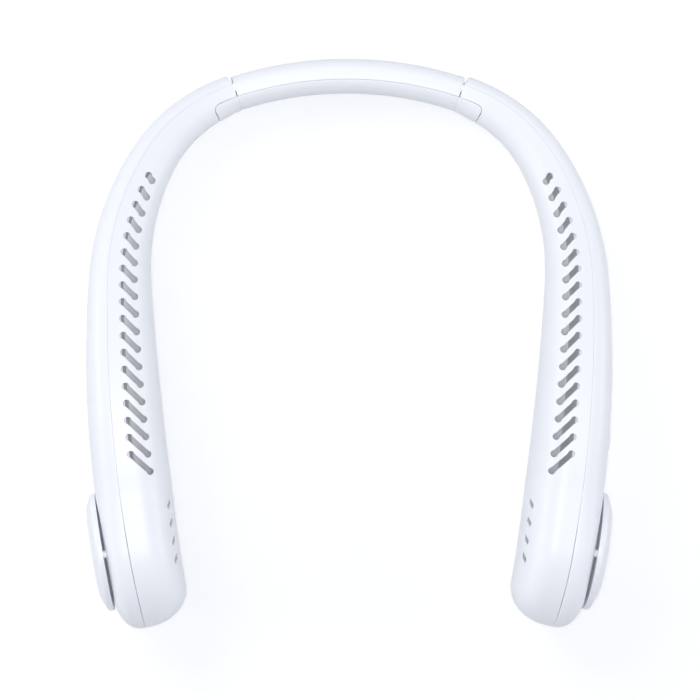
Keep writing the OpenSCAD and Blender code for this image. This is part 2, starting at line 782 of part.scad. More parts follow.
module power_button() {
    flange_top = button_wall - flange_gap;
    color("gainsboro") outward(button_place) {
        translate([0, 0, flange_top - flange_t])
            cylinder(r = button_r, h = button_top - flange_top + flange_t, $fn = mid);
        translate([0, 0, flange_top - flange_t])
            cylinder(r = button_r + flange_w, h = flange_t, $fn = mid);
        translate([0, 0, switch_top + button_gap])
            cylinder(r = stem_r, h = flange_top - switch_top - button_gap, $fn = mid);
    }
}
module light_pipe() {
    reach = half_w(button_place) - board_top;
    color("lightcyan") outward(button_place) {
        slab(-light_start - light_pitch * (light_count - 1) - light_r, -light_start + light_r,
             -light_r, light_r, board_top, board_top + 2 * light_r);
        for (i = [0 : light_count - 1])
            translate([-light_start - light_pitch * i, 0, board_top])
                cylinder(r = light_r, h = reach, $fn = mid);
    }
}

// The charge socket stands on the board's lower edge and opens through the underside
socket_mid = board_top + socket_h / 2;
module socket_outline(grow) {
    r = socket_h / 2 + grow;
    hull()
        for (x = [-1, 1])
            translate([x * (socket_w - socket_h) / 2, 0]) circle(r = r, $fn = coarse * 2);
}
module socket_frame() {
    at(button_place) translate([0, socket_mid, -socket_mouth]) children();
}
module charge_socket() {
    color("silver") socket_frame()
        difference() {
            linear_extrude(height = socket_depth) socket_outline(0);
            translate([0, 0, -over])
                linear_extrude(height = socket_depth - socket_wall + over)
                    socket_outline(-socket_wall);
        }
}
module socket_hole() {
    socket_frame()
        translate([0, 0, -2 * arm_wall - over])
            linear_extrude(height = 4 * arm_wall + over) socket_outline(fit_gap / 2);
}

band_rear_shell();
band_neck_pad();
band_wires();
hinge_knuckle(-1);  // left_hinge_knuckle
hinge_knuckle(1);  // right_hinge_knuckle
hinge_tongue(-1);  // left_hinge_tongue
hinge_tongue(1);  // right_hinge_tongue
inner_shell(-1);  // left_inner_shell
outer_shell(-1);  // left_outer_shell
intake_cover(-1);  // left_intake_cover
intake_guard(-1);  // left_intake_guard
volute(-1);  // left_volute
motor(-1);  // left_motor
motor_shaft(-1);  // left_motor_shaft
impeller(-1);  // left_impeller
hinge_fork(-1);  // left_hinge_fork
hinge_pin(-1);  // left_hinge_pin
battery(-1);  // left_battery
air_divider(-1);  // left_air_divider
arm_wires(-1);  // left_arm_wires
inner_shell(1);  // right_inner_shell
outer_shell(1);  // right_outer_shell
intake_cover(1);  // right_intake_cover
intake_guard(1);  // right_intake_guard
volute(1);  // right_volute
motor(1);  // right_motor
motor_shaft(1);  // right_motor_shaft
impeller(1);  // right_impeller
hinge_fork(1);  // right_hinge_fork
hinge_pin(1);  // right_hinge_pin
battery(1);  // right_battery
air_divider(1);  // right_air_divider
arm_wires(1);  // right_arm_wires
control_board();
tact_switch();
power_button();
charge_socket();
light_pipe();
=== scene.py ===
"""Looks of an electric neck fan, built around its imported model.

Shells, covers, guards, impellers, wires, button and light pipe are pieces of their own, on
the same curves and sizes as the construction. The other nodes keep their solids and get a
finish. Every length is in metres.
"""

import logging
import math
from contextlib import contextmanager
from dataclasses import dataclass, field
from enum import Enum
from functools import cached_property, partial
from typing import Callable, Iterator, Sequence

import bmesh
import bpy
import numpy as np
from mathutils import Matrix, Vector
from mathutils.geometry import delaunay_2d_cdt


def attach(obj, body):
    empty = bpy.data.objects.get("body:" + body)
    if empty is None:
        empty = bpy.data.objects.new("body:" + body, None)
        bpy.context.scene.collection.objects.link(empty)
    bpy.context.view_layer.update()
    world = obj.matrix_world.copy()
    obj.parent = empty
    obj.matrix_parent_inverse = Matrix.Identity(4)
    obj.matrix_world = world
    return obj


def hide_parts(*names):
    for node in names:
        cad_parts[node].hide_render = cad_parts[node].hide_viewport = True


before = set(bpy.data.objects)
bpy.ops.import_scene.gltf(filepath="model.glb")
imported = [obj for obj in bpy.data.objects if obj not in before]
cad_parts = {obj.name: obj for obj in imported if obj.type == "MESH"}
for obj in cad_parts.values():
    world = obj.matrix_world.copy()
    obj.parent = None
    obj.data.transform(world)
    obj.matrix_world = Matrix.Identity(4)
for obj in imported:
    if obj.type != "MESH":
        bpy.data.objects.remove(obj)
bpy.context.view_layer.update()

LOG = logging.getLogger("neck_fan")
MM = 0.001
QUARTER = math.pi / 2
# Longer than any distance in the fan, and shorter than any step of its forms.
FAR = 1.0
STEP = 0.02 * MM
# Corners closer than this are one, and edges sharper than this stay sharp.
MERGE = 1e-7
SHARP = math.radians(40)
# Distances of the rings that round a hole's edge.
LIP_RINGS = tuple(k * MM for k in (0.0, 0.02, 0.06, 0.11, 0.16))

Array = np.ndarray
Colour = tuple[float, float, float]
Corners = Sequence[tuple[float, float, float]]
Profile = list[tuple[float, float]]
Face = tuple[int, ...]
Inputs = dict[str | int, object]
Surface = Callable[[Array, Array, float], Array]


class Side(Enum):
    """One of the two arms, by the sign of its X."""

    LEFT = -1
    RIGHT = 1

    @property
    def word(self) -> str:
        """The side's name, as the nodes' names start with it."""
        return self.name.lower()


class Grain(Enum):
    """How fine a surface's grain is, as the scale of its noise."""

    POLISHED = 900.0
    SPARKED = 2600.0
    BRUSHED = 400.0


def set_inputs(node: bpy.types.Node, inputs: Inputs) -> bpy.types.Node:
    """Fills a node's inputs.

    Args:
        node: the node.
        inputs: for each input, a socket to link from or a value to set.

    Returns:
        The same node.
    """
    for key, source in inputs.items():
        if isinstance(source, bpy.types.NodeSocket):
            node.id_data.links.new(source, node.inputs[key])
        else:
            node.inputs[key].default_value = source
    return node


def add_node(tree: bpy.types.NodeTree, kind: str, inputs: Inputs, **settings: object
             ) -> bpy.types.Node:
    """Adds a node to a tree.

    Args:
        tree: the tree. kind: type of the node. inputs: as set_inputs takes them.
        settings: the node's own settings, such as its operation.

    Returns:
        The new node.
    """
    made = tree.nodes.new(kind)
    for name, value in settings.items():
        setattr(made, name, value)
    return set_inputs(made, inputs)


@dataclass(frozen=True)
class Finish:
    """A surface finish: colour, gloss, the fine relief of the tool it came from, and any painted
    glow.
    """

    name: str
    colour: Colour
    roughness: float = 0.35
    metallic: float = 0.0
    coat: float = 0.0
    coat_roughness: float = 0.3
    grain: Grain = Grain.SPARKED
    relief: float = 0.01 * MM
    relief_strength: float = 0.6
    gloss_drift: float = 0.12
    drift: float = 0.012
    drift_scale: float = 14.0
    clear: float = 0.0
    # Strength of painted light: an emission on a part that is no lamp.
    glow: float = 0.0

    def material(self) -> bpy.types.Material:
        """Builds the finish as a node material on Object coordinates.

        Returns:
            The new material, or the one that was built before under this name.
        """
        label = f"{self.name}_finish"
        found = bpy.data.materials.get(label)
        if found:
            return found
        made = bpy.data.materials.new(label)
        made.use_nodes = True
        tree = made.node_tree
        place = tree.nodes.new("ShaderNodeTexCoord").outputs["Object"]
        broad = add_node(tree, "ShaderNodeTexNoise",
                         {"Vector": place, "Scale": self.drift_scale, "Detail": 3.0})
        ramp = add_node(tree, "ShaderNodeValToRGB", {"Fac": broad.outputs["Fac"]})
        for stop, change in zip(ramp.color_ramp.elements, (1 - self.drift, 1 + self.drift)):
            stop.color = (*(min(c * change, 1.0) for c in self.colour), 1.0)
        noise = add_node(tree, "ShaderNodeTexNoise",
                         {"Vector": place, "Scale": self.grain.value, "Detail": 2.0})
        fine = noise.outputs["Fac"]
        gloss = add_node(tree, "ShaderNodeMapRange", {
            "Value": fine,
            "To Min": self.roughness * (1 - self.gloss_drift),
            "To Max": self.roughness * (1 + self.gloss_drift),
        })
        bump = add_node(tree, "ShaderNodeBump", {
            "Height": fine, "Distance": self.relief, "Strength": self.relief_strength,
        })
        set_inputs(tree.nodes["Principled BSDF"], {
            "Base Color": ramp.outputs["Color"],
            "Roughness": gloss.outputs["Result"],
            "Normal": bump.outputs["Normal"],
            "Metallic": self.metallic,
            "Coat Weight": self.coat,
            "Coat Roughness": self.coat_roughness,
            "Transmission Weight": self.clear,
            # The emission is painted light wherever a finish's glow is above zero.
            "Emission Color": (*self.colour, 1),
            "Emission Strength": self.glow,
        })
        return made


SHELL_WHITE = Finish("shell_white", (0.92, 0.93, 0.955), 0.42, coat=0.08, grain=Grain.POLISHED)
PAD_WHITE = Finish("pad_white", (0.91, 0.92, 0.945), 0.42)
COVER_WHITE = Finish("cover_white", (0.9, 0.91, 0.94), 0.3, coat=0.2)
# The glow stands for light that the thin white walls let through.
# Painted light: the glow makes the duct parts shine though they are no lamp, which lightens their
# shaded insides seen through the slots.
DUCT_GREY_PAINTED_GLOW = Finish("duct_plastic", (0.8, 0.81, 0.84), 0.5, glow=0.1)
IMPELLER_GREY = Finish("impeller_plastic", (0.72, 0.74, 0.78), 0.4)
HINGE_GREY = Finish("hinge_plastic", (0.82, 0.83, 0.86), 0.4)
STEEL = Finish("steel", (0.62, 0.62, 0.64), 0.25, metallic=1.0, grain=Grain.BRUSHED)
MOTOR_CAN = Finish("motor_can", (0.52, 0.53, 0.55), 0.35, metallic=1.0, grain=Grain.BRUSHED)
CELL_WRAP = Finish("cell_wrap", (0.16, 0.3, 0.52), 0.35, coat=0.3)
WIRE_RED = Finish("wire_red", (0.5, 0.06, 0.05), 0.4)
BOARD_GREEN = Finish("board_green", (0.03, 0.2, 0.09), 0.35, coat=0.4)
SWITCH_BLACK = Finish("switch_black", (0.03, 0.03, 0.035), 0.4)
BUTTON_GREY = Finish("button_grey", (0.8, 0.82, 0.86), 0.32, coat=0.2)
LIGHT_CLEAR = Finish("light_clear", (0.86, 0.9, 0.94), 0.15, clear=0.6)

NODE_FINISHES: dict[str, Finish] = {
    "band_wires": WIRE_RED,
    "arm_wires": WIRE_RED,
    "hinge_knuckle": HINGE_GREY,
    "hinge_fork": HINGE_GREY,
    "hinge_pin": STEEL,
    "motor_shaft": STEEL,
    "motor": MOTOR_CAN,
    "impeller": IMPELLER_GREY,
    "intake_guard": DUCT_GREY_PAINTED_GLOW,
    "volute": DUCT_GREY_PAINTED_GLOW,
    "air_divider": DUCT_GREY_PAINTED_GLOW,
    "battery": CELL_WRAP,
    "control_board": BOARD_GREEN,
    "tact_switch": SWITCH_BLACK,
    "power_button": BUTTON_GREY,
    "charge_socket": STEEL,
    "light_pipe": LIGHT_CLEAR,
}


def bearing(angle: Array) -> tuple[Array, Array]:
    """Outward direction of a section whose heading is this angle, clockwise from +Y."""
    return np.sin(angle), np.cos(angle)


def ease(x: Array) -> Array:
    """Smooth step from 0 to 1."""
    x = np.clip(x, 0.0, 1.0)
    return x * x * (3 - 2 * x)


def side_share(share: Array, power: float) -> Array:
    """Turn from a round side's end, 0, to its middle, 1, at a share of its reach."""
    return np.arccos(np.clip(share, 0, 1) ** (1 / power)) / QUARTER


def section_point(
    turn: Array, a: Array, b: Array, f: Array, c: Array, power: Array | float
) -> tuple[Array, Array]:
    """Point of a section: round sides joined by a flat top and a flat underside.

    Args:
        turn: place round the section. 0 is the outermost point, 1 the seam on top,
            2 the end of the flat top, 3 the neck side's middle and 5 the seam below.
        a: half width. b: half height. f: place of the seam. c: end of the flat top.
        power: roundness of the sides.

    Returns:
        Distance outward of the middle line, and height above the middle.
    """
    sign = np.where((turn < 0) | (turn > 3), -1.0, 1.0)
    t = np.abs(np.where(turn > 3, 6 - turn, turn))
    outer = np.clip(t, 0, 1) * QUARTER
    inner = np.clip(3 - t, 0, 1) * QUARTER
    n = np.select(
        [t <= 1, t <= 2],
        [f + (a - f) * np.maximum(np.cos(outer), 0) ** power, f - (f + c) * (t - 1)],
        -(c + (a - c) * np.maximum(np.cos(inner), 0) ** power),
    )
    z = np.select([t <= 1, t <= 2], [b * np.sin(outer) ** power, b * np.ones_like(t)],
                  b * np.sin(inner) ** power)
    return n, sign * z


@dataclass(frozen=True)
class ArmForm:
    """Curve and sections of the right arm, from the hinge to the rounded tip."""

    band_radius: float = 132 * MM
    band_w: float = 12.4 * MM
    band_angle: float = math.radians(18)
    bend_radius: float = 53.4 * MM
    bend_end: float = math.radians(60.3)
    shoulder_radius: float = 90 * MM
    reach_radius: float = 570 * MM
    reach_angle: float = math.radians(11.2)
    root_w: float = 13.8 * MM
    root_h: float = 20 * MM
    full_w: float = 27.4 * MM
    full_h: float = 50 * MM
    end_w: float = 26 * MM
    swell_len: float = 160 * MM
    taper_len: float = 40 * MM
    under_lift: float = 3 * MM
    fan_inset: float = 16.2 * MM
    wall: float = 1.8 * MM
    side_power: float = 0.8
    fan_power: float = 0.5
    fan_power_len: float = 30 * MM
    tip_power: float = 0.85
    seat_depth: float = 0.65 * MM
    seat_r: float = 21.5 * MM
    opening_r: float = 16 * MM
    swell_power: float = 1.57
    crown_share: float = 0.1
    seam_root_share: float = 0.4
    seam_full_share: float = 0.31
    hinge_offset: float = 1.9 * MM
    bevel: float = math.radians(13)
    bevel_len: float = 9 * MM

    @cached_property
    def lengths(self) -> tuple[float, float, float]:
        """Distances from the hinge to the ends of the bend, the shoulder and the reach."""
        bend = self.bend_radius * (self.bend_end - self.band_angle)
        shoulder = bend + self.shoulder_radius * (QUARTER - self.bend_end)
        return bend, shoulder, shoulder + self.reach_radius * self.reach_angle

    @property
    def length(self) -> float:
        """Distance from the hinge to where the tip starts to round."""
        return self.lengths[2]

    @property
    def fan_place(self) -> float:
        """Distance along the arm to the fan's axis."""
        return self.length - self.fan_inset

    @cached_property
    def joints(self) -> tuple[Array, Array, Array]:
        """Middle line's points at the hinge, the end of the bend and of the shoulder."""

        def step(radius: float, start: float, end: float) -> Array:
            """Way along an arc between two headings."""
            return radius * (np.array(bearing(end)) - np.array(bearing(start)))

        root = self.band_radius * np.array(bearing(self.band_angle))
        bend = root + step(self.bend_radius, self.band_angle, self.bend_end)
        shoulder = bend + step(self.shoulder_radius, self.bend_end, QUARTER)
        end = shoulder + step(self.reach_radius, QUARTER, QUARTER + self.reach_angle)
        lift = np.array([0.0, self.back_y_of(end[1])])
        return root + lift, bend + lift, shoulder + lift

    def back_y_of(self, end_y: float) -> float:
        """Y of the band's centre that puts the whole fan's middle at Y = 0."""
        return -(self.band_radius + self.band_w / 2 + end_y - self.end_w / 2) / 2

    @cached_property
    def back_y(self) -> float:
        """Y of the centre that the band curves about."""
        return float(self.joints[0][1] - self.band_radius * math.cos(self.band_angle))

    def heading(self, s: Array) -> Array:
        """Angle of the outward normal.

        Args:
            s: distance along the arm.

        Returns:
            The angle, clockwise from +Y.
        """
        bend, shoulder, _ = self.lengths
        reach = np.minimum((s - shoulder) / self.reach_radius, self.reach_angle)
        arcs = [
            self.band_angle,
            self.band_angle + s / self.bend_radius,
            self.bend_end + (s - bend) / self.shoulder_radius,
        ]
        return np.select([s < 0, s < bend, s < shoulder], arcs, QUARTER + reach)

    def radius(self, s: float) -> float:
        """Radius of the middle line.

        Args:
            s: distance along the arm.

        Returns:
            The radius there.
        """
        bend, shoulder, _ = self.lengths
        if s < bend:
            return self.bend_radius
        return self.shoulder_radius if s < shoulder else self.reach_radius

    def spot(self, s: Array) -> tuple[Array, Array]:
        """Point of the middle line, seen from above.

        Args:
            s: distance along the arm, which runs on straight before 0 and past its length.

        Returns:
            X and Y of the point.
        """
        bend, shoulder, length = self.lengths
        x, y = bearing(self.heading(s))
        starts = (self.band_angle, self.bend_end, QUARTER)
        radii = (self.bend_radius, self.shoulder_radius, self.reach_radius)
        spans = [
            (joint[0] + radius * (x - math.sin(start)), joint[1] + radius * (y - math.cos(start)))
            for joint, radius, start in zip(self.joints, radii, starts)
        ]
        root = self.joints[0]
        before = (root[0] + s * math.cos(self.band_angle), root[1] - s * math.sin(self.band_angle))
        past = np.maximum(s - length, 0)
        end = self.heading(np.array(length))
        last = (spans[2][0] + past * np.cos(end), spans[2][1] - past * np.sin(end))
        tests = [s < 0, s < bend, s < shoulder]
        return tuple(
            np.select(tests, [before[k], spans[0][k], spans[1][k]], last[k]) for k in (0, 1)
        )

    def swell(self, s: Array) -> Array:
        """Share of its full size that the arm has at a distance s."""
        return np.sin(QUARTER * np.clip(s / self.swell_len, 0, 1)) ** self.swell_power

    def half_w(self, s: Array) -> Array:
        """Half the width of the arm, seen from above.

        Args:
            s: distance along the arm.

        Returns:
            The half width there, which falls off a little towards the tip.
        """
        thin = ease((s - self.length + self.taper_len) / self.taper_len)
        grown = self.root_w + (self.full_w - self.root_w) * self.swell(s)
        return (grown - (self.full_w - self.end_w) * thin) / 2

    def half_h(self, s: Array) -> Array:
        """Half the height of the arm, before its tip is rounded."""
        return (self.root_h + (self.full_h - self.root_h) * self.swell(s)) / 2

    def mid_z(self, s: Array) -> Array:
        """Height of the arm's middle above the surface it lies on."""
        arch = np.sin(math.pi * np.clip(s / self.swell_len, 0, 1))
        return self.half_h(s) + self.under_lift * arch

    def seam_n(self, s: Array) -> Array:
        """Place of the seam between the two shells, outward of the middle line."""
        span = self.seam_full_share - self.seam_root_share
        return self.half_w(s) * (self.seam_root_share + span * self.swell(s))

    def sizes(self, station: Array, inset: float) -> tuple[Array, ...]:
        """Section at a station, where stations past the arm's length run round the tip.

        Args:
            station: distance along the arm; past its length, along a quarter round.
            inset: distance inward from the outer surface.

        Returns:
            Distance s, half width, half height, seam place, crown place, and how far the
            section is still spread from its seam.
        """
        past = np.maximum(station - self.length, 0)
        cap = np.minimum(past / (self.end_w / 2), QUARTER)
        s = np.minimum(station, self.length)
        reach = self.half_w(s) - inset
        end = s + reach * np.sin(cap)
        k = np.maximum(np.cos(cap), 0) ** self.tip_power
        tip = self.fan_inset + self.end_w / 2 - inset
        share = np.clip((end - self.fan_place) / tip, 0, 1)
        height = (self.half_h(s) - inset) * np.sqrt(1 - share**2)
        return end, reach, height, self.seam_n(s), self.half_w(s) * self.crown_share, k

    def power(self, station: Array, turn: Array) -> Array:
        """Power of a section's round sides; the outer side gets flatter towards the fan.

        Args:
            station: distance along the arm. turn: place round the section.

        Returns:
            The power at each place.
        """
        near = ease((station - self.fan_place + self.fan_power_len) / self.fan_power_len)
        outer = np.abs(np.where(turn > 3, 6 - turn, turn)) <= 1
        return np.where(outer, self.side_power + (self.fan_power - self.side_power) * near,
                        self.side_power)

    @cached_property
    def fan_axis(self) -> "AxisFrame":
        """The fan's own frame."""
        return axis_at(self, self.fan_place)

    @property
    def seat(self) -> float:
        """Height of the cover's flat seat along the fan's axis."""
        return float(self.half_w(np.array(self.fan_place))) - self.seat_depth

    def station_at(self, s: float, u: Array) -> Array:
        """Stations of points of the outer side.

        Args:
            s: place of an axis along the arm. u: how far along from it each point lies.

        Returns:
            The stations, which run on round the tip.
        """
        w = float(self.half_w(np.array(s)))
        radius = self.radius(s)
        station = s + radius * np.arctan2(u, radius + w)
        turned_by = (self.length - s) / radius
        past = (u - (radius + w) * math.sin(turned_by)) / math.cos(turned_by)
        cap = np.arcsin(np.clip(past / (self.end_w / 2), 0, 1))
        return np.where(station > self.length, self.length + self.end_w / 2 * cap, station)

    def start_shift(self, turn: Array) -> Array:
        """How far the arm's end is bevelled back on its outer side, so that it can open.

        Args:
            turn: places round the section.

        Returns:
            The distance along the arm at each place.
        """
        _, a, b, f, c, _ = self.sizes(np.zeros(1), 0.0)
        n, _ = section_point(turn, a, b, f, c, self.side_power)
        return np.maximum(n - self.hinge_offset, 0) * math.tan(self.bevel)

    def point(self, station: Array, turn: Array, inset: float) -> Array:
        """Points of the arm's surface.

        Args:
            station: distances along the arm.
            turn: places round the section, as section_point takes them.
            inset: distance inward from the outer surface.

        Returns:
            An array of points, one row each.
        """
        near = np.clip(1 - station / self.bevel_len, 0, 1)
        station = station + self.start_shift(turn) * near
        s, a, b, f, c, k = self.sizes(station, inset)
        if inset > 0:
            turn = self.below(station, turn, a)
        n, z = section_point(turn, a, b, f, c, self.power(station, turn))
        n = f + (n - f) * k
        x, y = self.spot(s)
        out_x, out_y = bearing(self.heading(s))
        level = self.mid_z(np.minimum(station, self.length))
        return self.seated(np.stack([x + n * out_x, y + n * out_y, level + z], axis=-1))

    def below(self, station: Array, turn: Array, a: Array) -> Array:
        """Turn on the inner surface that lies straight below a turn on top of the neck side.

        Args:
            station: places along the arm. turn: turns on the outer surface.
            a: half width of the inner surface.

        Returns:
            The turns, which blend back into the given ones towards the middle of the side.
        """
        bend, last = 2.33, 3.0
        _, full, _, _, c, _ = self.sizes(station, 0.0)

        def under(t: Array | float) -> Array:
            """Inner turn straight below an outer turn."""
            n = c + (full - c) * np.cos((3 - t) * QUARTER) ** self.side_power
            return 3 - side_share((n - c) / (a - c), self.side_power)

        knee = under(bend)
        side = knee + (last - knee) * (turn - bend) / (last - bend)
        steep = np.where(turn < bend, under(np.clip(turn, 2, last)), side)
        return np.where((turn > 2) & (turn < last), steep, turn)

    def seated(self, points: Array) -> Array:
        """Sinks the points under the intake cover to the flat seat that faces it.

        Args:
            points: points of the arm, which are changed.

        Returns:
            The same array.
        """
        axis = self.fan_axis
        side = points[..., :2] - np.array(axis.origin[:2])
        out = side @ np.array(axis.out)
        across = np.hypot(side @ np.array(axis.along), points[..., 2] - axis.origin[2])
        sunk = np.where(across < self.seat_r - STEP, np.maximum(out - self.seat, 0), 0)
        points[..., :2] -= sunk[..., None] * np.array(axis.out)
        return points


@dataclass
class Ruler:
    """Turns round a section, measured in metres along it at one typical place."""

    arm: ArmForm
    start: float
    end: float
    a: float
    b: float
    f: float
    c: float
    samples: int = 6000
    turns: Array = field(init=False)
    marks: Array = field(init=False)

    def __post_init__(self) -> None:
        """Measures the section."""
        self.turns = np.linspace(self.start, self.end, self.samples)
        n, z = section_point(self.turns, self.a, self.b, self.f, self.c, self.arm.side_power)
        steps = np.hypot(np.diff(n), np.diff(z))
        self.marks = np.concatenate([[0.0], np.cumsum(steps)])

    @classmethod
    def at(cls, arm: ArmForm, start: float, end: float, place: float) -> "Ruler":
        """Ruler of a span of turns of the arm's own section at a place."""
        _, a, b, f, c, _ = (float(v[0]) for v in arm.sizes(np.array([place]), 0.0))
        return cls(arm, start, end, a, b, f, c)

    @property
    def span(self) -> float:
        """Length round the section."""
        return float(self.marks[-1])

    def turn(self, mark: Array) -> Array:
        """Turn at a measured mark."""
        return np.interp(mark, self.marks, self.turns)

    def mark(self, turn: Array) -> Array:
        """Measured mark of a turn."""
        return np.interp(turn, self.turns, self.marks)


@dataclass
class Hole:
    """A hole as nested loops of (station, mark) points, from its edge outwards."""

    loops: list[Array]
    offsets: Sequence[float]

    @classmethod
    def ringed(cls, loop: Callable[[float], Array], offsets: Sequence[float] = LIP_RINGS
               ) -> "Hole":
        """Hole whose loops are one outline, grown by each of the offsets."""
        return cls([loop(gap) for gap in offsets], offsets)


def fillet_depth(distance: Array, radius: float) -> Array:
    """How far a rounded edge falls away at a distance from it."""
    d = radius - np.clip(distance, 0, radius)
    return radius - np.sqrt(np.maximum(radius**2 - d**2, 0))


def inside(points: Array, loop: Array) -> Array:
    """Finds the points that lie inside a closed loop, by counting crossings.

    Args:
        points: the points, one row each. loop: corners of the loop.

    Returns:
        True for each point inside.
    """
    x, y = points[:, 0], points[:, 1]
    hit = np.zeros(len(points), bool)
    for (x0, y0), (x1, y1) in zip(loop, np.roll(loop, -1, axis=0)):
        if y0 == y1:
            continue
        crosses = (y0 > y) != (y1 > y)
        hit ^= crosses & (x < (x1 - x0) * (y - y0) / (y1 - y0) + x0)
    return hit


def loop_distance(points: Array, loop: Array) -> Array:
    """Least distance from each point to a loop's corners."""
    gaps = points[:, None, :] - loop[None, :, :]
    return np.sqrt((gaps**2).sum(axis=2)).min(axis=1)


@dataclass
class Sheet:
    """A wall of even thickness, laid out on a grid, with rounded edges and holes.

    A sheet with a pole closes at its last station, and the others have free edges all round.
    """

    surface: Surface
    ruler: Ruler
    stations: Array
    marks: Array
    wall: float
    edge_r: float
    pole: bool = False
    holes: list[Hole] = field(default_factory=list)
    margin: float = 0.7 * MM
    clearance: float = 0.35 * MM

    def place(self, spots: Array, inset: float, depth: Array | None = None) -> Array:
        """Carries spots to space.

        Args:
            spots: station and mark of each spot. inset: distance inward of the surface.
            depth: how far each spot is sunk along the surface's normal, if at all.

        Returns:
            An array of points, one row each.
        """
        here = self.surface(spots[:, 0], self.ruler.turn(spots[:, 1]), inset)
        if depth is None:
            return here
        limit = self.stations[-1] - (STEP if self.pole else 0)
        s = np.clip(spots[:, 0], self.stations[0], limit - STEP)
        m = np.clip(spots[:, 1], self.marks[0], self.marks[-1] - STEP)
        base, along, across = (
            self.surface(s + ds, self.ruler.turn(m + dm), inset)
            for ds, dm in ((0, 0), (STEP, 0), (0, STEP))
        )
        normal = np.cross(along - base, across - base)
        normal /= np.maximum(np.linalg.norm(normal, axis=1, keepdims=True), 1e-20)
        return here - self.outward * normal * depth[:, None]

    @cached_property
    def outward(self) -> float:
        """Sign that points the normals out of the wall."""
        s, m = self.stations[len(self.stations) // 2], self.marks.mean()
        turn = self.ruler.turn(np.array([m, m, m + STEP]))
        p = self.surface(np.array([s, s + STEP, s]), turn, 0.0)
        under = self.surface(np.array([s]), turn[:1], self.wall)[0]
        normal = np.cross(p[1] - p[0], p[2] - p[0])
        return 1.0 if normal @ (p[0] - under) > 0 else -1.0

    def edge_distance(self, spots: Array) -> Array:
        """Distance from each spot to the nearest free edge of the sheet.

        Args:
            spots: station and mark of each spot.

        Returns:
            The distances.
        """
        s, m = spots.T
        end = FAR if self.pole else self.stations[-1] - s
        side = np.minimum(m - self.marks[0], self.marks[-1] - m)
        return np.minimum(np.minimum(s - self.stations[0], end), side)

    def build(self, name: str) -> bpy.types.Mesh:
        """Makes the closed mesh.

        Args:
            name: name of the new mesh.

        Returns:
            The mesh, with smooth faces and sharp corners marked.
        """
        cols = len(self.marks)
        grid = np.stack(np.meshgrid(self.stations, self.marks, indexing="ij"), -1).reshape(-1, 2)
        opened = self.open_cells()
        quads = [
            (i * cols + j, (i + 1) * cols + j, (i + 1) * cols + j + 1, i * cols + j + 1)
            for i, j in np.argwhere(~opened).tolist()
        ]
        spots, offsets, triangles = self.fill(grid, opened)
        distance = np.minimum(self.edge_distance(spots), offsets)
        front = self.place(spots, 0.0, fillet_depth(distance, self.edge_r))
        back = self.place(spots, self.wall)
        return self.closed_mesh(name, front, back, quads + triangles, spots)

    def open_cells(self) -> Array:
        """Marks the grid cells near a hole, which are filled with triangles.

        Returns:
            True for each such cell, by row and column.
        """
        opened = np.zeros((len(self.stations) - 1, len(self.marks) - 1), bool)
        for hole in self.holes:
            rim = hole.loops[-1]
            low, high = rim.min(axis=0) - self.margin, rim.max(axis=0) + self.margin
            i = np.searchsorted(self.stations, [low[0], high[0]])
            j = np.searchsorted(self.marks, [low[1], high[1]])
            opened[max(i[0] - 1, 0):i[1], max(j[0] - 1, 0):j[1]] = True
        return opened

    def fill(self, grid: Array, opened: Array) -> tuple[Array, Array, list[Face]]:
        """Fills the open cells round the holes with triangles.

        Args:
            grid: spots of the grid. opened: the open cells.

        Returns:
            All spots, each spot's distance from a hole's edge, and the triangles.
        """
        far = np.full(len(grid), FAR)
        if not self.holes:
            return grid, far, []
        rows, cols = opened.shape
        touched = np.zeros((rows + 1, cols + 1), bool)
        for i, j in ((0, 0), (0, 1), (1, 0), (1, 1)):
            touched[i:i + rows, j:j + cols] |= opened
        ids = np.nonzero(touched.ravel())[0]
        keep = np.ones(len(ids), bool)
        for hole in self.holes:
            rim = hole.loops[-1]
            low, high = rim.min(axis=0) - self.margin, rim.max(axis=0) + self.margin
            near = ((grid[ids] > low) & (grid[ids] < high)).all(axis=1) & keep
            spots = grid[ids[near]]
            bad = inside(spots, rim) | (loop_distance(spots, rim) < self.clearance)
            keep[np.nonzero(near)[0][bad]] = False
        ids = ids[keep]
        rings = [ring for hole in self.holes for ring in zip(hole.loops, hole.offsets)]
        loops = [loop for loop, _ in rings]
        gaps = [np.full(len(loop), gap) for loop, gap in rings]
        edges, first = self.rim_edges(opened, ids), len(ids)
        for size in map(len, loops):
            edges += [(first + k, first + (k + 1) % size) for k in range(size)]
            first += size
        names = [*ids, *range(len(grid), len(grid) + first - len(ids))]
        flat = np.concatenate([grid[ids], *loops]) / MM
        out = delaunay_2d_cdt([Vector(p) for p in flat], edges, [], 0, 1e-6, True)
        return self.sort_triangles(out, names, np.concatenate([grid, *loops]),
                                   np.concatenate([far, *gaps]), opened)

    def rim_edges(self, opened: Array, ids: Array) -> list[tuple[int, int]]:
        """Finds the edges between the open cells and the rest.

        Args:
            opened: the open cells. ids: grid spots in use.

        Returns:
            Both ends of each edge, by their place in ids.
        """
        where = {int(k): n for n, k in enumerate(ids)}
        padded = np.pad(opened, 1)
        cols = len(self.marks)
        across = np.argwhere(padded[:-1, 1:-1] != padded[1:, 1:-1]).tolist()
        along = np.argwhere(padded[1:-1, :-1] != padded[1:-1, 1:]).tolist()
        edges = [(i * cols + j, i * cols + j + 1) for i, j in across]
        edges += [(i * cols + j, (i + 1) * cols + j) for i, j in along]
        return [(where[a], where[b]) for a, b in edges if a in where and b in where]

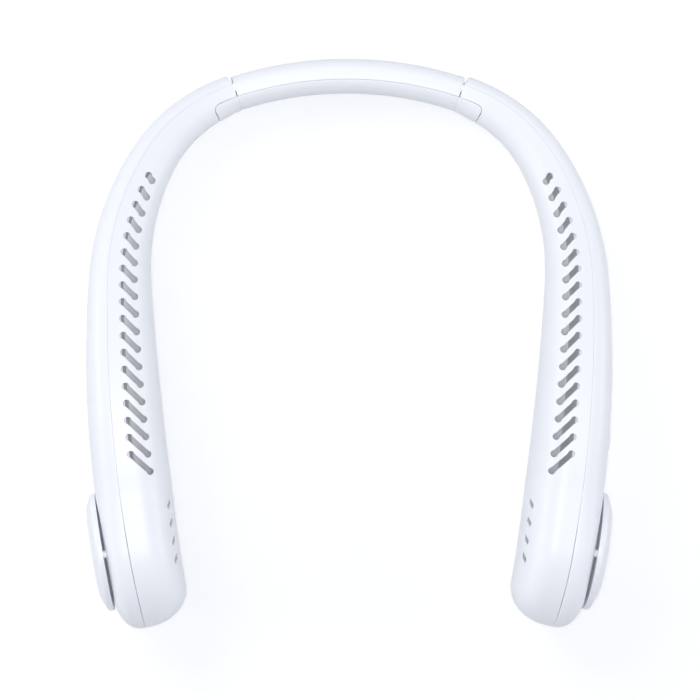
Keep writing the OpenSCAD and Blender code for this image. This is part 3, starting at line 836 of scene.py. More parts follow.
    def sort_triangles(
        self, out: tuple, names: list[int], spots: Array, gaps: Array, opened: Array
    ) -> tuple[Array, Array, list[Face]]:
        """Keeps the triangles that lie in open cells and outside the holes.

        Args:
            out: what the triangulation gave. names: spot of each point put into it.
            spots: all spots. gaps: their distances from a hole's edge.
            opened: the open cells.

        Returns:
            All spots with the new ones, their distances, and the triangles.
        """
        points, faces, origins = out[0], out[2], out[3]
        extra: list[Array] = []
        number: list[int] = []
        for point, origin in zip(points, origins):
            if origin:
                number.append(names[origin[0]])
            else:
                number.append(len(spots) + len(extra))
                extra.append(np.array(point) * MM)
        if extra:
            spots = np.concatenate([spots, np.array(extra)])
            gaps = np.concatenate([gaps, np.zeros(len(extra))])
        tri = np.array(faces)
        centre = np.array([tuple(p) for p in points])[tri].mean(axis=1) * MM
        i = np.clip(np.searchsorted(self.stations, centre[:, 0]) - 1, 0, opened.shape[0] - 1)
        j = np.clip(np.searchsorted(self.marks, centre[:, 1]) - 1, 0, opened.shape[1] - 1)
        good = opened[i, j]
        for hole in self.holes:
            good &= ~inside(centre, hole.loops[0])
        return spots, gaps, [tuple(number[k] for k in t) for t in tri[good]]

    def closed_mesh(
        self, name: str, front: Array, back: Array, faces: list[Face], spots: Array
    ) -> bpy.types.Mesh:
        """Joins the front and the back along every open edge.

        Args:
            name: name of the new mesh. front: outer points. back: inner points.
            faces: faces of the front. spots: station and mark of each point.

        Returns:
            The new mesh.
        """
        count = len(front)
        rims: dict[tuple[int, int], None] = {}
        for face in faces:
            for a, b in zip(face, face[1:] + face[:1]):
                if (b, a) in rims:
                    del rims[b, a]
                else:
                    rims[a, b] = None
        last = self.stations[-1]
        walls = [
            (b, a, a + count, b + count)
            for a, b in rims
            if not (self.pole and spots[a, 0] == last and spots[b, 0] == last)
        ]
        behind = [tuple(k + count for k in reversed(face)) for face in faces]
        whole = [*faces, *behind, *walls]
        if self.outward < 0:
            whole = [tuple(reversed(face)) for face in whole]
        return finished_mesh(name, np.concatenate([front, back]), whole)


@contextmanager
def editing(mesh: bpy.types.Mesh) -> Iterator[bmesh.types.BMesh]:
    """Opens a mesh for editing, and writes it back at the end.

    Args:
        mesh: the mesh.

    Yields:
        The mesh in its editable form.
    """
    work = bmesh.new()
    work.from_mesh(mesh)
    yield work
    work.to_mesh(mesh)
    work.free()


def smoothed(mesh: bpy.types.Mesh) -> bpy.types.Mesh:
    """Gives a mesh smooth faces and sharp corners.

    Args:
        mesh: the mesh, which is changed.

    Returns:
        The same mesh.
    """
    mesh.shade_smooth()
    mesh.set_sharp_from_angle(angle=SHARP)
    return mesh


def finished_mesh(name: str, points: Array, faces: Sequence[Face]) -> bpy.types.Mesh:
    """Makes a mesh with merged doubles, smooth faces and sharp corners.

    Args:
        name: name of the new mesh.
        points: its corners. faces: corner numbers of each face.

    Returns:
        The new mesh.
    """
    mesh = bpy.data.meshes.new(name)
    mesh.from_pydata([tuple(p) for p in points], [], [tuple(f) for f in faces])
    with editing(mesh) as work:
        bmesh.ops.remove_doubles(work, verts=work.verts, dist=MERGE)
        bmesh.ops.dissolve_degenerate(work, edges=work.edges, dist=MERGE)
        loose = [v for v in work.verts if not v.link_faces]
        bmesh.ops.delete(work, geom=loose, context="VERTS")
    return smoothed(mesh)


def turned_out(mesh: bpy.types.Mesh) -> bpy.types.Mesh:
    """Points every face of a closed mesh outwards.

    Args:
        mesh: the mesh, which is changed.

    Returns:
        The same mesh.
    """
    with editing(mesh) as work:
        bmesh.ops.recalc_face_normals(work, faces=work.faces)
    return smoothed(mesh)


def joined(name: str, meshes: Sequence[bpy.types.Mesh]) -> bpy.types.Mesh:
    """Makes one smooth mesh out of several.

    Args:
        name: name of the new mesh. meshes: what goes into it.

    Returns:
        The new mesh.
    """
    whole = bpy.data.meshes.new(name)
    with editing(whole) as work:
        for mesh in meshes:
            work.from_mesh(mesh)
    return turned_out(whole)


def mirrored(mesh: bpy.types.Mesh, name: str) -> bpy.types.Mesh:
    """Copies a mesh to the other side of X = 0.

    Args:
        mesh: the mesh. name: name of the copy.

    Returns:
        The copy, with its faces pointing out.
    """
    copy = mesh.copy()
    copy.name = name
    with editing(copy) as work:
        for vert in work.verts:
            vert.co.x = -vert.co.x
        bmesh.ops.reverse_faces(work, faces=work.faces)
    return copy


def add_piece(name: str, mesh: bpy.types.Mesh, finish: Finish, body: str) -> None:
    """Adds a finished piece to the scene, in place of the node of its name.

    Args:
        name: name of the piece and of its node. mesh: its mesh, in place.
        finish: its finish, which also names its material slot.
        body: the body that it moves with.
    """
    piece = bpy.data.objects.new(name, mesh)
    bpy.context.scene.collection.objects.link(piece)
    mesh.materials.clear()
    mesh.materials.append(finish.material())
    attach(piece, body)
    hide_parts(name)
    LOG.info("%s: %d faces, on %s", name, len(mesh.polygons), body)


def add_pair(stem: str, mesh: bpy.types.Mesh, finish: Finish, part: str) -> None:
    """Adds a right-hand piece and its mirrored copy on the left.

    Args:
        stem: the piece's name without its side. mesh: mesh of the right one.
        finish: their finish. part: the body, without its side, that each moves with.
    """
    for side in Side:
        name = f"{side.word}_{stem}"
        own = mesh if side is Side.RIGHT else mirrored(mesh, name)
        add_piece(name, own, finish, part if part == "band" else f"{side.word}_{part}")


def lip_steps(radius: float) -> Array:
    """Distances from a rounded edge, closer together towards it."""
    return radius * (1 - np.cos(np.linspace(0, QUARTER, 5)))


def edge_marks(low: float, high: float, step: float, edge_r: float) -> Array:
    """Spaces marks evenly, with closer ones along both rounded edges.

    Args:
        low: first mark. high: last mark. step: between the even ones.
        edge_r: radius of the rounded edges.

    Returns:
        The marks, in order.
    """
    lips, clear = lip_steps(edge_r), edge_r * 1.6
    inner = np.linspace(low + clear, high - clear, max(int((high - low) / step), 2))
    return np.concatenate([low + lips, inner, (high - lips)[::-1]])


def turned(line: Array, angle: float) -> tuple[Array, Array]:
    """Turns the points of a flat line about its own middle."""
    x, y = line.T
    return (x * math.cos(angle) - y * math.sin(angle), x * math.sin(angle) + y * math.cos(angle))


def capsule(half: float, radius: float) -> Array:
    """Draws a round-ended outline about its own middle.

    Args:
        half: distance from the middle to each end's centre. radius: of the ends.

    Returns:
        The outline's points.
    """
    sweep = np.linspace(-QUARTER, QUARTER, 9)
    end = np.stack([half + radius * np.cos(sweep), radius * np.sin(sweep)], axis=1)
    return np.concatenate([end, -end])


def top_turn(arm: ArmForm, station: Array, n: Array) -> Array:
    """Turn of points on the top of an arm.

    Args:
        arm: form of the arm. station: distance along it.
        n: how far outward of the middle line each point lies.

    Returns:
        The turns, between the seam and the neck side's middle.
    """
    _, a, _, f, c, _ = arm.sizes(station, 0.0)
    flat = 1 + (f - n) / (f + c)
    return np.where(n > -c, flat, 3 - side_share((-n - c) / (a - c), arm.side_power))


def side_turn(arm: ArmForm, station: Array, z: Array, power: Array | float) -> Array:
    """How far round a side points lie, from 0 at its middle to 1 or -1.

    Args:
        arm: form of the arm. station: distance along it.
        z: height above the arm's middle. power: roundness of the side.

    Returns:
        The share of each point.
    """
    _, _, b, _, _, _ = arm.sizes(station, 0.0)
    share = np.clip(np.abs(z) / b, 0, 1) ** (1 / power)
    return np.sign(z) * np.arcsin(share) / QUARTER


@dataclass
class SlotRow:
    """The bone-shaped air slots along the top of an arm."""

    arm: ArmForm
    count: int = 18
    first: float = 46.5 * MM
    pitch: float = 6.15 * MM
    first_len: float = 2.3 * MM
    last_len: float = 9.1 * MM
    end_r: float = 1.25 * MM
    waist_r: float = 1 * MM
    place_share: float = 0.32
    slant: float = math.radians(42)
    extra_slant: float = math.radians(17)
    slant_power: float = 2.5
    grow_power: float = 0.65

    def outline(self, half: float, grow: float) -> Array:
        """Draws a slot about its own middle.

        Args:
            half: distance from the middle to each end's centre.
            grow: how far the outline is grown outwards.

        Returns:
            The outline's points.
        """
        end, waist = self.end_r + grow, self.waist_r + grow
        open_angle = math.pi - math.asin(min(waist / end, 0.999))
        sweep = np.linspace(-open_angle, open_angle, 15)
        tip = np.stack([half + end * np.cos(sweep), end * np.sin(sweep)], axis=1)
        shares = np.linspace(1, -1, 7)[1:-1]
        joint = half + end * math.cos(open_angle)
        side = np.stack([joint * shares, np.full_like(shares, waist)], axis=1)
        half_loop = np.concatenate([tip, side])
        return np.concatenate([half_loop, -half_loop])

    def holes(self, ruler: Ruler) -> list[Hole]:
        """All slots of an arm, as holes in its neck-side shell."""
        return [Hole.ringed(partial(self.loop, ruler, i)) for i in range(self.count)]

    def loop(self, ruler: Ruler, i: int, grow: float) -> Array:
        """Lays out one slot on the arm.

        Args:
            ruler: measure of the shell. i: number of the slot, from the hinge.
            grow: how far its outline is grown outwards.

        Returns:
            Its loop of (station, mark) points.
        """
        arm = self.arm
        share = i / (self.count - 1)
        s = self.first + self.pitch * i
        half = (self.first_len + (self.last_len - self.first_len) * share**self.grow_power) / 2
        angle = -(self.slant + self.extra_slant * (1 - share) ** self.slant_power)
        x, y = turned(self.outline(half, grow), angle)
        n = y - self.place_share * float(arm.half_w(np.array(s)))
        radius = arm.radius(s)
        station = s + radius * np.arctan2(x, radius + n)
        return np.stack([station, ruler.mark(top_turn(arm, station, n))], axis=1)


@dataclass
class VentRow:
    """The short vents on the neck side, next to the fan: slits that lean forward."""

    arm: ArmForm
    count: int = 4
    first: float = 167.5 * MM
    pitch: float = 6.6 * MM
    upright: float = 3 * MM
    forward: float = 1.5 * MM
    radius: float = 1 * MM
    rise: float = 14 * MM

    def holes(self, ruler: Ruler) -> list[Hole]:
        """All vents of an arm, as holes in its neck-side shell."""
        places = (self.first + self.pitch * i for i in range(self.count))
        return [Hole.ringed(partial(self.loop, ruler, s)) for s in places]

    def loop(self, ruler: Ruler, s: float, grow: float) -> Array:
        """Lays out one vent on the arm.

        Args:
            ruler: measure of the shell. s: place of the vent along the arm.
            grow: how far its outline is grown outwards.

        Returns:
            Its loop of (station, mark) points.
        """
        half = math.hypot(self.upright, self.forward) / 2
        x, z = turned(capsule(half, self.radius + grow), math.atan2(self.upright, self.forward))
        turn = 3 - side_turn(self.arm, s + x, self.rise + z, self.arm.side_power)
        return np.stack([s + x, ruler.mark(turn)], axis=1)


@dataclass
class Tongue:
    """Part of the band's neck side that reaches over each hinge, and its window."""

    arm: ArmForm
    length: float = 10 * MM
    corner_r: float = 2.5 * MM
    thickness: float = 1.5 * MM
    edge_r: float = 0.3 * MM
    grid: float = 0.6 * MM
    gap: float = 0.16 * MM
    start: float = 0.15 * MM
    pad_share: float = 0.3
    sunk: float = 0.55 * MM
    blend: float = 7 * MM

    def corner(self, s: Array, length: float, r: float) -> Array:
        """How far the edge draws in near the round end."""
        past = np.clip(s - length + r, 0, r)
        return r - np.sqrt(np.maximum(r**2 - past**2, 0))

    def edge_turn(self, s: Array, grow: float) -> Array:
        """Turn of the tongue's edge on top.

        Args:
            s: distance along the arm. grow: how far the edge is grown outwards.

        Returns:
            The turn at each distance.
        """
        edge = self.arm.half_w(s) * self.pad_share - grow
        drawn = self.corner(s, self.length + grow, self.corner_r + grow)
        return top_turn(self.arm, s, -(edge + drawn))

    def window(self, ruler: Ruler, offset: float) -> Array:
        """Lays out the window that the tongue fills.

        Args:
            ruler: measure of the neck-side shell. offset: distance from its edge.

        Returns:
            Its loop of (station, mark) points, which starts at the arm's end.
        """
        grow = self.gap + offset
        length, r = self.length + grow, self.corner_r + grow
        straight = np.linspace(self.start, length - r, 12)
        bend = length - r + r * np.sin(np.radians(np.arange(8, 90, 8)))
        s = np.concatenate([straight, bend])
        top = np.stack([s, ruler.mark(self.edge_turn(s, grow))], axis=1)
        across = np.linspace(top[-1, 1], ruler.span - top[-1, 1], 30)[1:-1]
        front = np.stack([np.full_like(across, length), across], axis=1)
        bottom = top[::-1].copy()
        bottom[:, 1] = ruler.span - bottom[:, 1]
        return np.concatenate([top, front, bottom])

    def point(self, station: Array, turn: Array, inset: float) -> Array:
        """Points of the tongue.

        Args:
            station: distances along the arm.
            turn: places across, from 0 at one edge to 1 at the other.
            inset: distance inward from the outer surface.

        Returns:
            An array of points, one row each.
        """
        s = np.minimum(station, self.length)
        edge = self.edge_turn(s, 0.0)
        turn = edge + (6 - 2 * edge) * turn
        points = self.arm.point(s, turn, inset)
        near = self.sunk * ease(1 - s / self.blend) * ease((turn - 2) * (4 - turn) * 1.5)
        points[..., :2] += near[..., None] * np.array(bearing(self.arm.band_angle))
        return points

    def mesh(self) -> bpy.types.Mesh:
        """Builds the tongue over the right hinge.

        Returns:
            The new mesh.
        """
        middle = self.length / 2
        edge = float(self.edge_turn(np.array([middle]), 0.0)[0])
        ruler = Ruler.at(self.arm, edge, 6 - edge, middle)
        ruler.turns = (ruler.turns - edge) / (6 - 2 * edge)
        r, lips = self.corner_r, lip_steps(self.edge_r)
        body = np.linspace(self.grid, self.length - r, 9)[:-1]
        bend = self.length - r + r * np.sin(np.radians(np.arange(0, 87, 6)))
        last = self.length - lips[::-1]
        bend = bend[bend < last[0] - STEP / 2]
        stations = np.unique(np.concatenate([lips - self.start, body, bend, last]))
        marks = edge_marks(0.0, ruler.span, self.grid, self.edge_r)
        sheet = Sheet(self.point, ruler, stations, marks, self.thickness, self.edge_r)
        return sheet.build("right_hinge_tongue")


@dataclass
class ArmShells:
    """The two moulded shells of each arm, and the band's tongues over the hinges."""

    arm: ArmForm
    tongue: Tongue
    seam: float = 0.012 * MM
    edge_r: float = 0.14 * MM
    end_r: float = 0.3 * MM
    body_start: float = 1.2 * MM
    grid: float = 1.1 * MM
    typical: float = 110 * MM

    def stations(self) -> Array:
        """Places along the arm: close at the hinge, even along it, and round the tip."""
        length = self.arm.length
        start = self.tongue.start + lip_steps(self.end_r)
        body = np.linspace(self.body_start, length, int(length / self.grid))
        cap = length + self.arm.end_w / 2 * np.linspace(0, QUARTER, 20)[1:]
        return np.concatenate([start, body, cap])

    def shell(self, name: str, ruler: Ruler, holes: list[Hole]) -> bpy.types.Mesh:
        """Builds one shell of the right arm.

        Args:
            name: name of the mesh. ruler: measure of the shell. holes: its holes.

        Returns:
            The new mesh.
        """
        marks = edge_marks(self.seam, ruler.span - self.seam, self.grid, self.edge_r)
        sheet = Sheet(self.arm.point, ruler, self.stations(), marks, self.arm.wall,
                      self.edge_r, pole=True, holes=holes)
        return sheet.build(name)

    def inner(self) -> bpy.types.Mesh:
        """Builds the neck-side shell with its slots, vents and window.

        Returns:
            The new mesh.
        """
        ruler = Ruler.at(self.arm, 1, 5, self.typical)
        holes = SlotRow(self.arm).holes(ruler) + VentRow(self.arm).holes(ruler)
        holes.append(Hole.ringed(partial(self.tongue.window, ruler)))
        return self.shell("right_inner_shell", ruler, holes)

    def outer(self, side: Side) -> bpy.types.Mesh:
        """Builds an outer shell, on the right arm, with its intake opening.

        Args:
            side: the arm it is for; the right one has the controls' holes.

        Returns:
            The new mesh.
        """
        ruler = Ruler.at(self.arm, -1, 1, self.typical)
        holes = [self.intake(ruler)]
        if side is Side.RIGHT:
            holes += Controls().holes(self, ruler)
        return self.shell("right_outer_shell", ruler, holes)

    def round_hole(self, ruler: Ruler, s: float, x: float, r: float, count: int,
                   offsets: Sequence[float] = LIP_RINGS) -> Hole:
        """Lays out a round hole in the outer side.

        Args:
            ruler: measure of the shell. s: place of an axis along the arm.
            x: how far along from it the hole's own axis lies. r: radius of the hole.
            count: points of each loop. offsets: distances of the loops from its edge.

        Returns:
            The hole.
        """

        def ring(gap: float) -> Array:
            """Loop of (station, mark) points at a distance from the hole's edge."""
            sweep = np.linspace(0, 2 * math.pi, count, endpoint=False)
            station = self.arm.station_at(s, x + (r + gap) * np.cos(sweep))
            power = self.arm.power(station, np.zeros(count))
            turn = side_turn(self.arm, station, (r + gap) * np.sin(sweep), power)
            return np.stack([station, ruler.mark(turn)], axis=1)

        return Hole.ringed(ring, offsets)

    def intake(self, ruler: Ruler) -> Hole:
        """Lays out the fan's opening in the flat seat of its cover.

        Args:
            ruler: measure of the shell.

        Returns:
            The hole, with loops that also draw the flat seat and its edge.
        """
        inner, seat = self.arm.opening_r, self.arm.seat_r - self.arm.opening_r
        flat = (k * MM for k in (1.4, 2.4, 3.4, 4.4))
        steps = [*LIP_RINGS, *flat, seat - 0.05 * MM, seat, seat + 0.3 * MM]
        return self.round_hole(ruler, self.arm.fan_place, 0.0, inner, 96, steps)

    def dress(self) -> None:
        """Adds the shells and the tongues."""
        add_pair("inner_shell", self.inner(), SHELL_WHITE, "arm")
        right = self.outer(Side.RIGHT)
        left = mirrored(self.outer(Side.LEFT), "left_outer_shell")
        add_piece("right_outer_shell", right, SHELL_WHITE, "right_arm")
        add_piece("left_outer_shell", left, SHELL_WHITE, "left_arm")
        add_pair("hinge_tongue", self.tongue.mesh(), PAD_WHITE, "band")


@dataclass
class Controls:
    """Button, charge lights and socket of the right arm."""

    place: float = 142 * MM
    button_r: float = 5 * MM
    button_gap: float = 0.2 * MM
    light_r: float = 0.8 * MM
    light_gap: float = 0.05 * MM
    light_start: float = 8 * MM
    light_pitch: float = 2.5 * MM
    light_count: int = 3
    socket_n: float = 7.3045 * MM
    socket_w: float = 9.2 * MM
    socket_h: float = 3.5 * MM

    def holes(self, shells: ArmShells, ruler: Ruler) -> list[Hole]:
        """Lays out the holes that the controls need in the outer shell.

        Args:
            shells: the arm's shells. ruler: measure of the outer one.

        Returns:
            The holes of the button, the lights and the charge socket.
        """
        r = self.button_r + self.button_gap
        made = [shells.round_hole(ruler, self.place, 0.0, r, 40)]
        r = self.light_r + self.light_gap
        for i in range(self.light_count):
            x = -self.light_start - self.light_pitch * i
            made.append(shells.round_hole(ruler, self.place, x, r, 16))
        made.append(Hole.ringed(partial(self.socket_loop, shells.arm, ruler)))
        return made

    def socket_loop(self, arm: ArmForm, ruler: Ruler, grow: float) -> Array:
        """Lays out the round-ended hole for the charge socket, through the underside.

        Args:
            arm: form of the arm. ruler: measure of the outer shell.
            grow: how far the outline is grown outwards.

        Returns:
            Its loop of (station, mark) points.
        """
        line = capsule((self.socket_w - self.socket_h) / 2, self.socket_h / 2 + grow)
        station = self.place + line[:, 0]
        n = self.socket_n + line[:, 1]
        _, a, _, f, _, _ = arm.sizes(station, 0.0)
        turn = -side_share((n - f) / (a - f), arm.side_power)
        return np.stack([station, ruler.mark(turn)], axis=1)


@dataclass
class Band:
    """The neck band's two shells: one section carried round the band's centre."""

    arm: ArmForm
    tongue: Tongue
    height: float = 19.2 * MM
    wall: float = 1.6 * MM
    end_gap: float = 0.15 * MM
    end_r: float = 0.3 * MM
    crease: float = 0.03 * MM
    edge_r: float = 0.25 * MM
    step_along: float = 1.2 * MM
    step_round: float = 0.8 * MM

    def section(self) -> tuple[float, float, float, float]:
        """Half width, half height, seam place and crown place of the band."""
        half = self.arm.band_w / 2
        return (half, self.height / 2, half * self.arm.seam_root_share,
                half * self.arm.crown_share)

    def point(self, station: Array, turn: Array, inset: float) -> Array:
        """Points of the band's surface.

        Args:
            station: distances from the middle, to the right.
            turn: places round the section. inset: distance inward from the surface.

        Returns:
            An array of points, one row each.
        """
        arm = self.arm
        a, b, f, c = self.section()
        n, z = section_point(turn, a - inset, b - inset, f, c, arm.side_power)
        x, y = bearing(station / arm.band_radius)
        r = arm.band_radius + n
        return np.stack([r * x, arm.back_y + r * y, arm.root_h / 2 + z], axis=-1)

    def dress(self) -> None:
        """Adds the rear shell and the neck pad."""
        arm = self.arm
        a, b, f, c = self.section()
        share = (a * self.tongue.pad_share - c) / (a - c)
        edge = 3 - float(side_share(share, arm.side_power))
        reach = arm.band_radius * arm.band_angle - self.end_gap
        stations = edge_marks(-reach, reach, self.step_along, self.end_r)
        for name, start, end, finish in (
            ("band_rear_shell", -edge, edge, SHELL_WHITE),
            ("band_neck_pad", edge, 6 - edge, PAD_WHITE),
        ):
            ruler = Ruler(arm, start, end, a, b, f, c)
            marks = edge_marks(self.crease, ruler.span - self.crease, self.step_round,
                               self.edge_r)
            sheet = Sheet(self.point, ruler, stations, marks, self.wall, self.edge_r)
            add_piece(name, sheet.build(name), finish, "band")


def rounded_profile(corners: Corners, steps: int = 6) -> Profile:
    """Rounds the corners of an open outline.

    Args:
        corners: radius from the axis, height along it, and the corner's own radius.
        steps: points on each rounded corner.

    Returns:
        The outline's points.
    """
    points: Profile = []
    for k, (x, y, r) in enumerate(corners):
        here = np.array([x, y])
        if r == 0 or k in (0, len(corners) - 1):
            points.append((x, y))
            continue
        before = np.array(corners[k - 1][:2]) - here
        after = np.array(corners[k + 1][:2]) - here
        before /= np.linalg.norm(before)
        after /= np.linalg.norm(after)
        half = math.acos(float(np.clip(before @ after, -1, 1))) / 2
        cut = r / math.tan(half)
        middle = here + (before + after) / np.linalg.norm(before + after) * r / math.sin(half)
        start, end = here + before * cut - middle, here + after * cut - middle
        for t in np.linspace(0, 1, steps):
            arm = start * (1 - t) + end * t
            points.append(tuple(middle + arm / np.linalg.norm(arm) * r))
    return points


def ring_profile(r_in: float, r_out: float, z0: float, z1: float) -> Profile:
    """Outline of a flat ring, for the lathe."""
    return [(r_in, z0), (r_out, z0), (r_out, z1), (r_in, z1), (r_in, z0)]


@dataclass(frozen=True)
class AxisFrame:
    """A place on an axis that points out of the right arm."""

    origin: tuple[float, float, float]
    along: tuple[float, float]
    out: tuple[float, float]

    def carry(self, points: Array) -> Array:
        """Takes points from the axis's own frame, with Z outward, to the fan's.

        Args:
            points: the points, one row each.

        Returns:
            The points in the fan's frame.
        """
        x, y, z = points.T
        return np.stack([
            self.origin[0] + x * self.along[0] + z * self.out[0],
            self.origin[1] + x * self.along[1] + z * self.out[1],
            self.origin[2] - y,
        ], axis=1)


def axis_at(arm: ArmForm, s: float) -> AxisFrame:
    """Sets up an axis that points outward of an arm.

    Args:
        arm: form of the arm. s: distance along it.

    Returns:
        The axis's frame, with its origin on the arm's middle line.
    """
    place = np.array(s)
    x, y = arm.spot(place)
    angle = float(arm.heading(place))
    out = (math.sin(angle), math.cos(angle))
    return AxisFrame((float(x), float(y), float(arm.mid_z(place))), (out[1], -out[0]), out)


def settled(mesh: bpy.types.Mesh, axis: AxisFrame) -> bpy.types.Mesh:
    """Carries a mesh from an axis's own frame to the fan's.

    Args:
        mesh: the mesh, which is changed. axis: the axis.

    Returns:
        The same mesh.
    """
    flat = np.empty(len(mesh.vertices) * 3)
    mesh.vertices.foreach_get("co", flat)
    mesh.vertices.foreach_set("co", axis.carry(flat.reshape(-1, 3)).ravel())
    mesh.update()
    return mesh


def lathe(name: str, profile: Profile, steps: int = 128) -> bpy.types.Mesh:
    """Turns an outline about the Z axis into a closed mesh.

    Args:
        name: name of the mesh. profile: radius and height of each point; a ring's last
            point is its first. steps: points round the axis.

    Returns:
        The new mesh, with its faces pointing out.
    """
    angle = np.linspace(0, 2 * math.pi, steps, endpoint=False)
    rings = [
        np.stack([r * np.cos(angle), r * np.sin(angle), np.full(steps, z)], axis=1)
        for r, z in profile
    ]
    faces = []
    for low in range(0, (len(profile) - 1) * steps, steps):
        high = low + steps
        for k in range(steps):
            after = (k + 1) % steps
            faces.append((low + k, low + after, high + after, high + k))
    return turned_out(finished_mesh(name, np.concatenate(rings), faces))


def bar(name: str, line: Array, z0: float, z1: float) -> bpy.types.Mesh:
    """Raises a closed outline into a bar.

    Args:
        name: name of the mesh. line: the outline. z0: lower height. z1: upper height.

    Returns:
        The new mesh, with its faces pointing out.
    """
    count = len(line)
    points = [np.column_stack([line, np.full(count, z)]) for z in (z0, z1)]
    faces: list[Face] = [tuple(range(count)), tuple(range(count, 2 * count))]
    faces += [(k, (k + 1) % count, (k + 1) % count + count, k + count) for k in range(count)]
    return turned_out(finished_mesh(name, np.concatenate(points), faces))


class Recipe:
    """A Geometry Nodes tree with named inputs, and the values for one use of it."""

    def __init__(self, name: str) -> None:
        """Starts an empty tree.

        Args:
            name: name of the tree.
        """
        self.name = name
        self.tree = bpy.data.node_groups.new(name, "GeometryNodeTree")
        self.tree.interface.new_socket(
            "Geometry", in_out="OUTPUT", socket_type="NodeSocketGeometry"
        )
        self.entry = self.tree.nodes.new("NodeGroupInput")
        self.values: dict[str, object] = {}

    def take(self, name: str, kind: str, value: object) -> bpy.types.NodeSocket:
        """Adds a named input with its value.

        Args:
            name: name of the input. kind: its socket's type. value: its value.

        Returns:
            The socket that gives the value inside the tree.
        """
        item = self.tree.interface.new_socket(name, in_out="INPUT", socket_type=kind)
        self.values[item.identifier] = value
        return self.entry.outputs[name]

    def node(self, kind: str, inputs: Inputs, **settings: object) -> bpy.types.NodeSocket:
        """Adds a node, as add_node does, and returns its first output."""
        return add_node(self.tree, kind, inputs, **settings).outputs[0]

    def source(self, name: str, holder: bpy.types.Object) -> bpy.types.NodeSocket:
        """Takes an object as a named input, and returns its geometry."""
        info = add_node(self.tree, "GeometryNodeObjectInfo",
                        {"Object": self.take(name, "NodeSocketObject", holder)})
        return info.outputs["Geometry"]

    def bake(self, shape: bpy.types.NodeSocket, finish: Finish) -> bpy.types.Mesh:
        """Ends the tree and turns what it makes into a plain mesh.

        Args:
            shape: the geometry to end with. finish: its finish.

        Returns:
            The evaluated mesh.
        """
        material = self.take("Finish", "NodeSocketMaterial", finish.material())
        real = self.node("GeometryNodeRealizeInstances", {"Geometry": shape})
        dressed = self.node("GeometryNodeSetMaterial", {"Geometry": real, "Material": material})
        add_node(self.tree, "NodeGroupOutput", {"Geometry": dressed})
        holder = bpy.data.objects.new(self.name, bpy.data.meshes.new(self.name))
        bpy.context.scene.collection.objects.link(holder)
        modifier = holder.modifiers.new("recipe", "NODES")
        modifier.node_group = self.tree
        for identifier, value in self.values.items():
            modifier[identifier] = value
        graph = bpy.context.evaluated_depsgraph_get()
        mesh = bpy.data.meshes.new_from_object(holder.evaluated_get(graph))
        holder.modifiers.remove(modifier)
        bpy.data.objects.remove(holder)
        return turned_out(mesh)


def repeated(name: str, part: bpy.types.Mesh, count: int, finish: Finish,
             step: tuple[float, float, float] | None = None) -> bpy.types.Mesh:
    """Repeats a part in its axis's frame with a Geometry Nodes recipe.

    Args:
        name: name of the recipe. part: mesh of one part, in place. count: how many.
        finish: the finish.
        step: shift from one to the next in a row, or None for a full circle about Z.

    Returns:
        One mesh with all the copies.
    """
    turn, step = (0.0, step) if step else (2 * math.pi / count, (0.0, 0.0, 0.0))
    recipe = Recipe(name)
    holder = bpy.data.objects.new(f"{name}_part", part)
    shape = recipe.source("Part", holder)
    index = recipe.node("GeometryNodeInputIndex", {})
    shift = recipe.node("ShaderNodeVectorMath",
                        {0: recipe.take("Step", "NodeSocketVector", step), "Scale": index},
                        operation="SCALE")
    angle = recipe.node("ShaderNodeMath",
                        {0: index, 1: recipe.take("Turn", "NodeSocketFloat", turn)},
                        operation="MULTIPLY")
    spin = recipe.node("ShaderNodeCombineXYZ", {"Z": angle})
    spots = recipe.node("GeometryNodePoints", {
        "Position": shift, "Count": recipe.take("Count", "NodeSocketInt", count),
    })
    copies = recipe.node("GeometryNodeInstanceOnPoints",
                         {"Points": spots, "Instance": shape, "Rotation": spin})
    mesh = recipe.bake(copies, finish)
    bpy.data.objects.remove(holder)
    return mesh


def tubes(name: str, paths: Sequence[Array], radius: float, finish: Finish) -> bpy.types.Mesh:
    """Round wires along paths, made with a Geometry Nodes recipe.

    Args:
        name: name of the recipe. paths: points of each path. radius: of the wires.
        finish: the finish.

    Returns:
        One mesh with all the wires.
    """
    mesh = bpy.data.meshes.new(f"{name}_path")
    edges, start = [], 0
    for line in paths:
        edges += [(start + k, start + k + 1) for k in range(len(line) - 1)]
        start += len(line)
    mesh.from_pydata([tuple(p) for p in np.concatenate(paths)], edges, [])
    holder = bpy.data.objects.new(f"{name}_path", mesh)
    recipe = Recipe(name)
    curve = recipe.node("GeometryNodeMeshToCurve", {"Mesh": recipe.source("Path", holder)})
    section = recipe.node("GeometryNodeCurvePrimitiveCircle", {
        "Resolution": 20, "Radius": recipe.take("Radius", "NodeSocketFloat", radius),
    })
    sweep = recipe.node("GeometryNodeCurveToMesh",
                        {"Curve": curve, "Profile Curve": section, "Fill Caps": True})
    made = recipe.bake(sweep, finish)
    bpy.data.objects.remove(holder)
    return made


